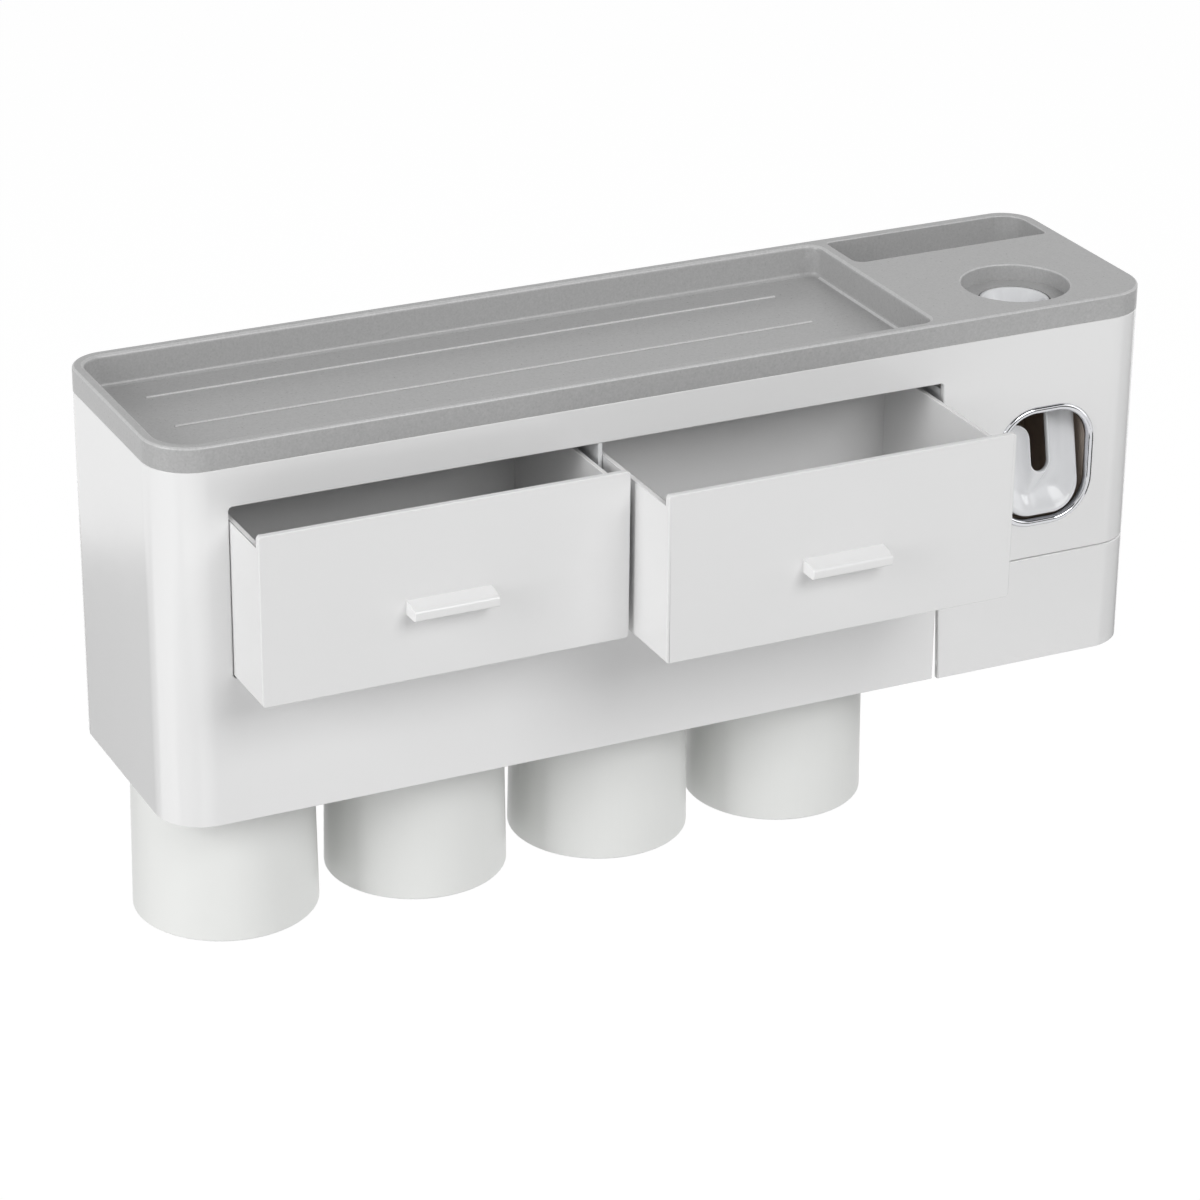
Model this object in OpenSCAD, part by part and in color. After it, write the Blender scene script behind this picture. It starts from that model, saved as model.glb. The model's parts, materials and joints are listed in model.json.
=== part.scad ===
// Wall-mounted bathroom organiser: toothpaste squeezer, two drawers, top tray and four hanging cups.
// +X runs along the wall to the right, the wall is the plane y = 0, the front faces -Y, +Z is up.
// The origin is the centre of the four wall screw holes.

/* [Body] */
// Overall length along the wall
body_w = 400; // [396:1:430]
// Depth from the wall to the front face
body_d = 102; // [100:1:120]
// Height from the tray rim to the bottom of the skirt
body_h = 146; // [143:1:165]
// Radius of the front corners, seen from above
corner_r = 18; // [10:0.5:24]
// Radius of the back corners, seen from above
back_r = 14; // [10:0.5:18]
// Wall of the shell
wall = 2.5; // [2:0.1:3]
// Radius of the opening corners in the shell
cut_r = 1.5; // [0.8:0.1:3]

/* [Top tray] */
// Height of the grey band that shows above the shell
band_h = 9.2; // [7:0.1:11]
// Width of the rim
rim_w = 4.5; // [4.2:0.1:6]
// Rounding of the rim edges
edge_r = 1; // [0.5:0.1:1.5]
// Depth of the large recess
tray_depth = 12.5; // [8:0.5:13.5]
// Thickness of the moulded floors and tub walls
skin = 2; // [1.5:0.1:2.2]
// Width of the deck at the squeezer end
deck_w = 94; // [88:1:100]
// Depth of the pen slot behind the tube well
pen_depth = 14; // [10:0.5:14]
// Front-to-back size of the pen slot
pen_d = 25.5; // [15:0.5:28]
// Drop of the locating skirt below the band
locate_h = 6; // [3:0.5:7]
// Width of the two raised lines on the floor
line_w = 0.8; // [0.5:0.1:1.5]
// Height of the two raised lines
line_h = 0.5; // [0.3:0.1:1]

/* [Tube well] */
// Diameter of the well in the deck
well_d = 41.2; // [38:0.2:44]
// Distance of the tube's axis from the front
tube_front = 27.5; // [26:0.5:29]
// Depth of the ledge in the well
ledge_drop = 6.5; // [5:0.5:7]
// Diameter of the funnel's rim in the ledge
funnel_d = 27; // [24:0.5:30]
// Diameter of the bore that takes the tube's neck
neck_d = 11.2; // [10:0.2:12]

/* [Drawers] */
// Distance of the drawer opening from the left side
opening_side = 24.8; // [23:0.2:28]
// Width of the squeezer's end, to the right of the drawer opening
squeezer_w = 91.2; // [89:0.2:100]
// Drop from the tray rim to the top of the opening
opening_drop = 24; // [22:0.5:25]
// Height of the drawer opening
opening_h = 65.3; // [60:0.1:66]
// Thickness of the wall between the drawers
divider_t = 1.5; // [1.2:0.1:2.5]
// Gap round each drawer
drawer_gap = 0.3; // [0.2:0.05:0.5]
// Thickness of a drawer's front plate
plate_t = 2.4; // [1.8:0.1:3]
// Thickness of a drawer's walls and floor
drawer_wall = 1.8; // [1.4:0.1:2.2]
// Space behind a closed drawer
drawer_back = 12.5; // [12:0.5:18]
// Height that the front plate stands above the walls
lip_h = 4.6; // [3:0.2:6]
// Free space beside the right wall of a drawer
stop_space = 3.2; // [2.6:0.1:4]
// How much of a drawer stays in the guides when it is fully open
drawer_keep = 21.5; // [16:0.5:30]
// How far the left drawer stands open, as a share of its travel
left_open_share = 0.4; // [0:0.01:1]
// How far the right drawer stands open, as a share of its travel
right_open_share = 0.78; // [0:0.01:1]

/* [Handles] */
// Length of a handle bar
handle_w = 32.4; // [25:0.2:50]
// How far a handle stands out
handle_d = 8; // [6:0.2:16]
// Thickness of a handle bar
handle_t = 5.3; // [4:0.1:6]
// Drop of the handle below the middle of the plate
handle_drop = 4; // [0:0.2:10]
// Diameter of the two pegs that hold a handle
peg_d = 2.2; // [1.6:0.1:2.4]

/* [Cups] */
// Number of hanging cups
cup_count = 4; // [4:1:4]
// Gap between the mouths of two cups
cup_gap = 7.2; // [5:0.2:12]
// Gap between the first cup and the left side
cup_inset = 3; // [2.8:0.1:6]
// Gap between the last cup and the squeezer's end
cup_end_gap = 5.8; // [3:0.1:10]
// Height of a cup
cup_h = 97; // [92:0.5:99]
// Wall of a cup
cup_wall = 1.8; // [1.4:0.1:2.4]
// Difference in radius between the mouth and the base
cup_taper = 1.6; // [0.5:0.1:3]
// Clear height between the drawer frame and the cup panel
holder_space = 13.3; // [12:0.1:20]
// Diameter of the round magnets
magnet_d = 18; // [12:0.5:22]
// Thickness of the round magnets
magnet_t = 2.5; // [2:0.1:3]

/* [Squeezer] */
// Distance of the squeezer's axis from the right side
disp_side = 45.5; // [45:0.5:48]
// Outside width of the bright ring
ring_w = 43.2; // [40:0.2:44]
// Outside height of the bright ring
ring_h = 49; // [46:0.2:50]
// Corner radius of the bright ring
ring_r = 17; // [12:0.5:19]
// Width of the ring's face
ring_band = 2.3; // [1.8:0.1:3]
// How far the ring stands proud of the shell
ring_proud = 0.9; // [0.5:0.1:1.5]
// Drop from the lever's pins to the ring's centre
ring_low = 29.1; // [28:0.1:30]
// Width of the push lever
lever_w = 33.6; // [31:0.2:34]
// Thickness of the push lever's plate
lever_t = 3.2; // [2.8:0.1:4]
// Forward lean of the lever at rest, in degrees
lever_lean = 12; // [10:1:12]
// Travel of the lever, in degrees
lever_swing = 22; // [15:1:22]
// Width of the slot in the lever
notch_w = 7.4; // [7:0.1:8]
// Diameter of the lever's pins
pin_d = 3; // [2.5:0.1:3.5]
// Outside diameter of the bellows
bellows_d = 17; // [14:0.5:18]
// Outside diameter of the nozzle
nozzle_d = 4.8; // [4:0.1:5]

/* [Lower cover] */
// Distance from the ring down to the seam above the lower cover
seam_low = 13.2; // [12:0.1:20]
// Gap between the skirt and the cover at the seam
slit_top = 0.8; // [0.5:0.1:1.5]
// Gap between the skirt and the cover at the bottom
slit_bottom = 2.6; // [1.6:0.1:4]
// Gap in the seam
seam_gap = 0.4; // [0.3:0.1:0.6]
// Height of the tongue that slides up inside the shell
tongue_h = 6; // [4:0.5:8]

/* [Wall hangers] */
// Centre distance of the two hangers, as a share of the length
hanger_share = 0.6; // [0.5:0.01:0.62]
// Centre distance of the two screw holes in a hanger
screw_pitch = 36; // [32:1:38]
// Diameter of the wall screw holes
screw_hole_d = 4.4; // [4:0.1:5]
// Width of a hanger
hanger_w = 36; // [30:1:38]
// Height of a hanger
hanger_h = 54; // [50:1:56]
// Thickness of a hanger's plate
hanger_t = 2.6; // [2:0.1:2.8]
// Thickness of the adhesive pad behind a hanger
pad_t = 1; // [0.6:0.1:1.2]
// Height of the lip on a hanger's hook
hook_h = 8; // [6:0.5:9]
// Gap between the tray's lowest tub and the hangers
hang_gap = 3; // [3:0.1:8]

/* [Hidden] */
$fn = 96;

// Overrun of every cut beyond the face that it opens
over = 1;
// Gap between the back edge of the body and the wall
wall_gap = 0.3;
// Gap between fixed pieces that fit in one another
fit = 0.3;
// Radial clearance of a pin in its bore
pin_clear = 0.05;

// Colours
white_gloss = [0.93, 0.93, 0.92];
white_satin = [0.90, 0.91, 0.91];
tray_grey = [0.62, 0.63, 0.64];
cup_white = [0.88, 0.89, 0.88];
dark_abs = [0.16, 0.15, 0.14];
bright = [0.75, 0.76, 0.78];
silicone = [0.80, 0.80, 0.78];
steel = [0.60, 0.61, 0.63];

// Main levels and edges
top_z = pen_depth + skin + hang_gap + hanger_h / 2;
band_z = top_z - band_h;
skirt_z = top_z - body_h;
left_x = -body_w / 2;
right_x = body_w / 2;
front_y = -body_d;
front_in = front_y + wall;

// Drawer opening and bays
open_x0 = left_x + opening_side;
opening_w = body_w - opening_side - squeezer_w;
open_x1 = open_x0 + opening_w;
open_z1 = top_z - opening_drop;
open_z0 = open_z1 - opening_h;
bay_w = (opening_w - divider_t) / 2;
bay_x = [open_x0, open_x0 + bay_w + divider_t];
plate_w = bay_w - 2 * drawer_gap;
plate_h = opening_h - 2 * drawer_gap;
plate_z0 = open_z0 + drawer_gap;
drawer_top = plate_z0 + plate_h - lip_h;
box_w = plate_w - stop_space;
drawer_d = body_d - drawer_back;
drawer_travel = drawer_d - drawer_keep;
pull_left = drawer_travel * left_open_share;
pull_right = drawer_travel * right_open_share;

// Back panel
panel_t = 2.5;
panel_y1 = -wall_gap;
panel_y0 = panel_y1 - panel_t;
panel_x = body_w / 2 - back_r - fit;
strip_t = 2;
strip_w = 8;
strip_y1 = panel_y0 - fit;
strip_y0 = strip_y1 - strip_t;

// Screws: one size all through
screw_d = 2.9;
screw_head_d = 5.6;
screw_head_t = 1.4;
head_recess = 1.5;
pilot_floor = 1.2;
screw_l = 9;
pilot_d = 3;
boss_r = 3.5;
corner_screw_x = panel_x - boss_r - wall / 2;

// Wall hangers, their hooks and the pockets that take them
hanger_x = [-body_w * hanger_share / 2, body_w * hanger_share / 2];
hanger_y0 = -pad_t - hanger_t;
hook_w = 22;
hook_t = 2.2;
stem_t = 3;
pocket_floor_t = 2.2;
pocket_y1 = hanger_y0 - 2 * fit;
pocket_y0 = pocket_y1 - pocket_floor_t;
hook_y1 = pocket_y0 - 2 * fit;
hook_y0 = hook_y1 - hook_t;
stem_z1 = hook_h;
stem_z0 = stem_z1 - stem_t;
lift = hook_h + fit * 4;
pocket_z1 = hanger_h / 2 + fit * 2;
pocket_z0 = -hanger_h / 2 - lift - fit * 2;
pocket_w = hanger_w + 4 * fit;
pocket_wall = 1.8;
stop_rib_t = 2;
stop_rib_shares = [0.06, 0.86];

// Drawer frame
frame_t = 2;
frame_z1 = open_z0;
frame_z0 = frame_z1 - frame_t;
frame_y0 = front_in + fit;
frame_y1 = pocket_y0 - fit;
rear_boss_y1 = panel_y0 - fit;
guide_t = 1.6;
guide_y1 = front_y + drawer_d - fit;
guide_top = drawer_top + drawer_gap;
rail_w = 1.4;
rail_t = 1.5;
rail_back = 14;
ledge_w = 3;
ledge_t = 2;
stop_nib_t = stop_space - 2 * fit;
stop_nib_d = 4;
stop_nib_h = 10;
rear_boss_shares = [0.1, 0.5, 0.9];
rear_boss_l = 13;

// Cups and what holds them
cups_w = body_w - squeezer_w - cup_inset - cup_end_gap - (cup_count - 1) * cup_gap;
cup_d = cups_w / cup_count;
cup_pitch = cup_d + cup_gap;
cup_out = body_d / 2;
cup_r = cup_d / 2;
cup_base_r = cup_r - cup_taper;
cup_floor = 3;
cup_x = [for (i = [0:cup_count - 1]) left_x + cup_inset + cup_r + i * cup_pitch];
seat_r = 14;
seat_t = 1;
seat_clear = 0.5;
holder_t = 2.5;
holder_z1 = frame_z0 - holder_space;
holder_z0 = holder_z1 - holder_t;
cup_base_z = holder_z0 - fit;
cup_mouth_z = cup_base_z - cup_h;
corner_screw_z = [band_z - locate_h - boss_r * 3, holder_z0 - boss_r * 3];
holder_x0 = left_x + wall + fit;
holder_x1 = open_x1;
collar_t = 1.6;
post_r = 4;
post_share = 0.9;
post_y = [-cup_out + cup_base_r * post_share, -cup_out - cup_base_r * post_share];
post_x = [for (i = [0:cup_count - 2]) cup_x[i] + cup_pitch / 2];

// Squeezer: the stack under the well
disp_x = right_x - disp_side;
tube_y = front_y + tube_front;
ledge_z1 = top_z - ledge_drop;
ledge_z0 = ledge_z1 - skin;
well_r = well_d / 2;
funnel_r = funnel_d / 2;
neck_r = neck_d / 2;
flange_over = 4;
flange_r = funnel_r + flange_over;
flange_t = 1.8;
flange_z1 = ledge_z0 - fit;
flange_z0 = flange_z1 - flange_t;
cone_h = 5;
cone_z0 = flange_z0 - cone_h;
spout_t = 2;
spout_r = neck_r + spout_t;

// Cage behind the opening, and the pump body hung in it
cage_wall = 2;
cage_play = 3.2;
cage_in = lever_w / 2 + cage_play;
cage_out = cage_in + cage_wall;
cage_top1 = flange_z0 - screw_head_t - fit * 2;
cage_top0 = cage_top1 - cage_wall;
cage_back = 22;
cage_y1 = tube_y + cage_back;
pump_gap = 9;
pump_h = 12;
pump_z1 = cage_top0 - pump_gap;
pump_z0 = pump_z1 - pump_h;
pump_w = 25;
pump_r = 5;
socket_wall = 1.8;
socket_z1 = cone_z0 - 3 * fit;
chamber_in = 1;
chamber_r = bellows_d / 2 - chamber_in;
chamber_h = 9;
chamber_z1 = pump_z0 + chamber_h;
bellows_back = 5;
bellows_y = tube_y + bellows_back;
nozzle_front = 11.5;
nozzle_y = tube_y - nozzle_front;
duct_d = 4;
duct_z = chamber_z1 - duct_d;
inlet_r = 4;
post_front = 15;
post_back = 14.5;
pump_post_y = [tube_y - post_front, tube_y + post_back];
pump_front = 6;
pump_y0 = nozzle_y - pump_front;
pump_back = 2.5;
pump_y1 = bellows_y + bellows_d / 2 + pump_back;
valve_t = 0.8;
valve_slit = 0.4;

// Opening with its ring, below the pins, and the seam below it
pivot_front = 9.5;
pivot_y = tube_y - pivot_front;
pivot_z = pump_z0;
ring_z = pivot_z - ring_low;
hole_top_z = ring_z + ring_h / 2 - ring_band;
sleeve_t = 0.7;
sleeve_l = 2.3;
cage_low = 4;
cage_z0 = ring_z - ring_h / 2 - cage_low;
ear_w = 9;
ear_back = 9;
ear_y0 = front_in + ear_back;
ear_screw_x = cage_out + ear_w / 2;
ear_screw_z = [cage_top0 - ear_w, cage_z0 + ear_w];
seam_z = ring_z - ring_h / 2 - seam_low;

// Bellows, its ring and the nozzle
bellows_lip = 1.5;
bellows_flange_r = bellows_d / 2 + bellows_lip;
bellows_flange_t = 1.2;
bellows_h = 13;
bellows_wall = 1;
bellows_folds = 3;
bellows_fold = 2;
clamp_r = bellows_flange_r + bellows_lip;
clamp_t = 2;
nozzle_l = 14;
nozzle_bore = 2.4;
nozzle_lip = 1.8;
nozzle_flange_r = nozzle_d / 2 + nozzle_lip;
nozzle_flange_t = 2;

// Push lever: local frame at the pins, with the plate hanging straight down
lever_face = 8;
lever_top = 11;
lever_bottom = 52;
lever_r = 12;
dish_r = 60;
notch_bottom = 35.2;
flare_r = 6.3;
flare_z = -22.2;
slot_x = 0.6;
arm_t = 3;
arm_in = lever_w / 2 - arm_t;
hub_r = 4.5;
arm_w = 6;
web_r = 2.5;
web_collar = 1;
web_y = 17.9;
web_z = -12.3;
pin_r = pin_d / 2;
pin_end = 0.5;
pin_in = arm_in - pin_end;
cage_boss_r = 3.6;

// Lower cover
cover_x0 = open_x1 + guide_t / 2;
cover_drop = 0.5;
tongue_t = 1.6;
tongue_inset = wall + fit;

// Tray
deck_x0 = right_x - deck_w;
bridge_r = 2;
floor_z1 = top_z - tray_depth;
pen_x0 = deck_x0 + rim_w;
pen_r = 4;
line_y_shares = [0.205, 0.5];
line_x_shares = [0.086, 0.915];

// Rounded rectangle: corners ra on the y0 side, rb on the y1 side
module rounded(x0, x1, y0, y1, ra, rb) {
    translate([x0 + ra, y0]) square([x1 - x0 - 2 * ra, ra]);
    translate([x0, y0 + ra]) square([x1 - x0, y1 - y0 - ra - rb]);
    translate([x0 + rb, y1 - rb]) square([x1 - x0 - 2 * rb, rb]);
    for (x = [x0 + ra, x1 - ra]) translate([x, y0 + ra]) circle(r = ra);
    for (x = [x0 + rb, x1 - rb]) translate([x, y1 - rb]) circle(r = rb);
}

// The body seen from above, drawn in by inset
module outline(inset) {
    rounded(left_x + inset, right_x - inset, front_y + inset, -wall_gap - inset,
        corner_r - inset, back_r - inset);
}

// A slab that stands upright: the child is drawn in x and z, and fills y0 to y1
module upright(y0, y1) {
    translate([0, y1, 0]) rotate([90, 0, 0]) linear_extrude(y1 - y0) children();
}

// A profile in y and z, run along x from x0 to x1
module along_x(x0, x1) {
    translate([x0, 0, 0]) rotate([90, 0, 90]) linear_extrude(x1 - x0) children();
}

// A block given by its two corners
module block(a, b) {
    translate(a) cube(b - a);
}

// A round bar along y
module bar_y(x, z, y0, y1, r) {
    translate([x, y1, z]) rotate([90, 0, 0]) cylinder(r = r, h = y1 - y0);
}

// A round bar along x
module bar_x(y, z, x0, x1, r) {
    translate([x0, y, z]) rotate([0, 90, 0]) cylinder(r = r, h = x1 - x0);
}

// A disc or post standing on z0
module post(x, y, z0, z1, r) {
    translate([x, y, z0]) cylinder(r = r, h = z1 - z0);
}

// A pan-head screw along its own +Z, with the head's seat at the origin
module screw() {
    translate([0, 0, -screw_l]) cylinder(r = screw_d / 2, h = screw_l);
    cylinder(r1 = screw_head_d / 2, r2 = screw_head_d / 2 - screw_head_t / 3, h = screw_head_t);
}

// The opening for the ring, seen from the front, drawn in by inset
module ring_shape(inset) {
    rounded(disp_x - ring_w / 2 + inset, disp_x + ring_w / 2 - inset,
        ring_z - ring_h / 2 + inset, ring_z + ring_h / 2 - inset, ring_r - inset, ring_r - inset);
}

// A profile drawn in x (inwards from the edge) and y (up), swept round the body's outline
module swept_rim() {
    straight_w = body_w - 2 * corner_r;
    straight_b = body_w - 2 * back_r;
    straight_d = body_d - wall_gap - corner_r - back_r;
    translate([left_x + corner_r, front_y, 0]) rotate([90, 0, 90]) linear_extrude(straight_w) children();
    translate([right_x - back_r, -wall_gap, 0]) rotate([0, 0, 180]) rotate([90, 0, 90])
        linear_extrude(straight_b) children();
    translate([left_x, -wall_gap - back_r, 0]) rotate([0, 0, -90]) rotate([90, 0, 90])
        linear_extrude(straight_d) children();
    translate([right_x, front_y + corner_r, 0]) rotate([0, 0, 90]) rotate([90, 0, 90])
        linear_extrude(straight_d) children();
    translate([left_x + corner_r, front_y + corner_r, 0]) rotate([0, 0, 180])
        rotate_extrude(angle = 90) translate([corner_r, 0]) mirror([1, 0]) children();
    translate([right_x - corner_r, front_y + corner_r, 0]) rotate([0, 0, 270])
        rotate_extrude(angle = 90) translate([corner_r, 0]) mirror([1, 0]) children();
    translate([right_x - back_r, -wall_gap - back_r, 0])
        rotate_extrude(angle = 90) translate([back_r, 0]) mirror([1, 0]) children();
    translate([left_x + back_r, -wall_gap - back_r, 0]) rotate([0, 0, 90])
        rotate_extrude(angle = 90) translate([back_r, 0]) mirror([1, 0]) children();
}

// White outer shell: one wall round the front and both ends, open at the top, back and bottom
module front_shell() {
    color(white_gloss) {
        difference() {
            translate([0, 0, skirt_z]) linear_extrude(band_z - skirt_z) difference() {
                outline(0);
                outline(wall);
                translate([-body_w / 2 + back_r, -wall_gap - wall - fit]) square([body_w - 2 * back_r, wall + 2 * fit]);
            }
            upright(front_y - over, front_in + over)
                rounded(open_x0, open_x1, open_z0, open_z1, cut_r, cut_r);
            upright(front_y - over, front_in + over) ring_shape(ring_band);
            block([cover_x0, front_y - over, skirt_z - over], [right_x + over, over, seam_z]);
            block([open_x1 + over, -body_d / 2, skirt_z - over], [right_x + over, over, seam_z]);
        }
        // Ledge under the front edge of the drawer frame
        block([open_x0 + corner_r, front_y + wall / 2, frame_z0 - fit - ledge_t],
            [open_x1 - corner_r, front_in + ledge_w, frame_z0 - fit]);
        // Strips and bosses that the back panel is screwed to
        back_strip(left_x + wall / 2, left_x + back_r + strip_w, skirt_z);
        back_strip(right_x - back_r - strip_w, right_x - wall / 2, seam_z);
        // Bosses for the pump housing
        for (side = [-1, 1]) for (z = ear_screw_z) difference() {
            bar_y(disp_x + side * ear_screw_x, z, front_y + wall / 2, ear_y0 - fit, boss_r);
            bar_y(disp_x + side * ear_screw_x, z, front_in + pilot_floor, ear_y0 + over, pilot_d / 2);
        }
    }
}

// One upright strip behind the back panel's edge, kept inside the shell's curved corner
module back_strip(x0, x1, z0) {
    strip_top = band_z - locate_h - 5 * fit;
    screw_x = x0 < 0 ? -corner_screw_x : corner_screw_x;
    levels = [for (z = corner_screw_z) if (z > z0 + boss_r) z];
    difference() {
        union() {
            translate([0, 0, z0]) linear_extrude(strip_top - z0) intersection() {
                translate([x0, strip_y0]) square([x1 - x0, strip_t]);
                outline(wall / 2);
            }
            for (z = levels) bar_y(screw_x, z, strip_y1 - screw_l - fit, strip_y0 + strip_t / 2, boss_r);
        }
        for (z = levels) bar_y(screw_x, z, strip_y1 - screw_l - over, strip_y1 + over, pilot_d / 2);
    }
}

// Back panel, let into the shell, with the two pockets that hang on the wall hooks
module back_panel() {
    color(white_satin) {
        difference() {
            union() {
                block([-panel_x, panel_y0, skirt_z], [panel_x, panel_y1, band_z - fit]);
                for (x = hanger_x) block([x - pocket_w / 2 - pocket_wall, pocket_y0, pocket_z0 - pocket_wall],
                    [x + pocket_w / 2 + pocket_wall, panel_y0 + panel_t / 2, pocket_z1 + pocket_wall]);
            }
            for (x = hanger_x) {
                block([x - pocket_w / 2, pocket_y1, pocket_z0], [x + pocket_w / 2, over, pocket_z1]);
                block([x - hook_w / 2 - 2 * fit, pocket_y0 - over, stem_z0 - lift - 2 * fit],
                    [x + hook_w / 2 + 2 * fit, pocket_y1 + over, stem_z1 + fit / 2]);
            }
            for (p = panel_screws()) {
                bar_y(p[0], p[1], panel_y0 - over, over, pilot_d / 2 + pin_clear);
                bar_y(p[0], p[1], panel_y1 - head_recess, over, screw_head_d / 2 + fit);
            }
        }
        // Ribs that stop the drawers when they close
        for (x0 = bay_x) for (share = stop_rib_shares) {
            x = x0 + bay_w * share;
            block([x - stop_rib_t / 2, guide_y1 + 2 * fit, pocket_z0 - pocket_wall - stop_rib_t * 2],
                [x + stop_rib_t / 2, panel_y0 + panel_t / 2, drawer_top - lip_h]);
        }
    }
}

// Places of the screws through the back panel, in x and z
function panel_screws() = concat(
    [for (side = [-1, 1]) for (z = corner_screw_z) if (side < 0 || z > seam_z) [side * corner_screw_x, z]],
    [for (x = rear_boss_x()) [x, frame_z0 - boss_r]]
);

// Places of the bosses at the back of the drawer frame
function rear_boss_x() = [for (share = rear_boss_shares) open_x0 + opening_w * share];

// Grey top: rim, large recess, deck, pen slot and tube well
module top_tray() {
    color(tray_grey) {
        difference() {
            union() {
                // Band and rim with rounded upper edges, and the skirt that locates the tray in the shell
                translate([0, 0, band_z]) swept_rim() polygon(concat(
                    [[0, 0], [wall + fit, 0], [wall + fit, -locate_h], [rim_w, -locate_h]],
                    [for (a = [0:22.5:90]) [rim_w - edge_r, band_h - edge_r] + edge_r * [cos(a), sin(a)]],
                    [for (a = [90:22.5:180]) [edge_r, band_h - edge_r] + edge_r * [cos(a), sin(a)]]
                ));
                // Floor of the large recess
                translate([0, 0, floor_z1 - skin]) linear_extrude(skin) intersection() {
                    outline(wall + fit + over);
                    translate([left_x, front_y]) square([body_w - deck_w, body_d]);
                }
                // Deck
                translate([0, 0, top_z - skin]) linear_extrude(skin) intersection() {
                    outline(rim_w - over);
                    translate([deck_x0 + bridge_r, front_y]) square([deck_w, body_d]);
                }
                // Wall between the recess and the deck, with a soft upper edge
                intersection() {
                    translate([0, 0, floor_z1 - skin]) linear_extrude(tray_depth + skin) outline(rim_w - over);
                    upright(front_y, 0) union() {
                        translate([deck_x0, floor_z1 - skin]) square([rim_w, tray_depth + skin - bridge_r]);
                        translate([deck_x0 + bridge_r, floor_z1]) square([rim_w - bridge_r, tray_depth]);
                        translate([deck_x0 + bridge_r, top_z - bridge_r]) circle(r = bridge_r);
                    }
                }
                // Tub of the pen slot
                translate([0, 0, top_z - pen_depth - skin]) linear_extrude(pen_depth + skin / 2)
                    intersection() {
                        outline(rim_w - skin / 2);
                        translate([pen_x0 - skin, -wall_gap - rim_w - pen_d - skin]) square([deck_w, body_d]);
                    }
                // Wall and ledge of the tube well
                post(disp_x, tube_y, ledge_z0, top_z - skin / 2, well_r + skin);
            }
            // Pen slot
            translate([0, 0, top_z - pen_depth]) linear_extrude(pen_depth + over) intersection() {
                outline(rim_w);
                rounded(pen_x0, right_x + over, -wall_gap - rim_w - pen_d, over, pen_r, skin);
            }
            // Tube well and the hole for the funnel
            post(disp_x, tube_y, ledge_z1, top_z + over, well_r);
            post(disp_x, tube_y, ledge_z0 - over, top_z, funnel_r + fit);
        }
        // Two raised lines on the floor of the recess
        for (share = line_y_shares)
            block([left_x + (body_w - deck_w) * line_x_shares[0] + rim_w, -body_d * share - line_w / 2,
                    floor_z1 - skin / 2],
                [left_x + (body_w - deck_w) * line_x_shares[1], -body_d * share + line_w / 2, floor_z1 + line_h]);
    }
}

// Frame that the drawers run in: floor, guides, divider and hold-down rails
module drawer_frame() {
    right_x0 = open_x1;
    color(white_satin) {
        difference() {
            union() {
                block([open_x0 - guide_t, frame_y0, frame_z0], [open_x1 + guide_t, frame_y1, frame_z1]);
                block([open_x0 - guide_t, frame_y0, frame_z0], [open_x0, guide_y1, guide_top + rail_t]);
                block([right_x0, frame_y0, frame_z0], [right_x0 + guide_t, guide_y1, guide_top + rail_t]);
                // Divider, which shows between the drawer fronts
                block([bay_x[1] - divider_t, frame_y0, frame_z0], [bay_x[1], guide_y1, open_z1]);
                block([bay_x[1] - divider_t, front_y + fit / 2, open_z0], [bay_x[1], frame_y0 + over, open_z1]);
                // Rails over the drawer walls
                for (i = [0, 1]) {
                    block([bay_x[i] - guide_t / 2, frame_y0 + rail_back, guide_top],
                        [bay_x[i] + rail_w, guide_y1, guide_top + rail_t]);
                    block([bay_x[i] + bay_w - stop_space - rail_w, frame_y0 + rail_back, guide_top],
                        [bay_x[i] + bay_w + guide_t / 2, guide_y1, guide_top + rail_t]);
                    // Stop block that catches the drawer's nib
                    stop_block(bay_x[i] + bay_w);
                }
                // Bosses for the screws through the back panel
                for (x = rear_boss_x()) bar_y(x, frame_z0 - boss_r, rear_boss_y1 - rear_boss_l, rear_boss_y1, boss_r + fit);
                // Posts that carry the cup panel
                for (x = post_x) for (y = post_y) post(x, y, holder_z1 + fit / 2, frame_z0 + frame_t / 2, post_r);
            }
            for (x = rear_boss_x())
                bar_y(x, frame_z0 - boss_r, rear_boss_y1 - screw_l, rear_boss_y1 + over, pilot_d / 2);
            for (x = post_x) for (y = post_y) post(x, y, holder_z0, holder_z0 + screw_l + over, pilot_d / 2);
        }
    }
}

// The block on a guide that a drawer's nib meets at the end of its travel
module stop_block(x1) {
    y1 = front_y + drawer_d - drawer_travel - stop_nib_d - fit / 2;
    block([x1 - stop_nib_t, frame_y0, frame_z0], [x1 + guide_t / 2, y1, plate_z0 + stop_nib_h * 2]);
}

// Panel under the drawer frame that the cups hang from
module cup_panel() {
    color(white_satin) {
        difference() {
            union() {
                translate([0, 0, holder_z0]) linear_extrude(holder_t) intersection() {
                    outline(wall + fit);
                    translate([holder_x0, front_y]) square([holder_x1 - holder_x0, strip_y0 - fit - front_y]);
                }
                for (x = cup_x) post(x, -cup_out, holder_z0, holder_z1 + magnet_t, magnet_d / 2 + collar_t);
                for (x = cup_x) post(x, -cup_out, holder_z0 - seat_t, holder_z1, seat_r);
            }
            for (x = cup_x) post(x, -cup_out, holder_z1, holder_z1 + magnet_t + over, magnet_d / 2 + pin_clear);
            for (x = post_x) for (y = post_y) post(x, y, holder_z0 - over, holder_z1 + over, pilot_d / 2 + pin_clear);
        }
    }
}

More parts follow.
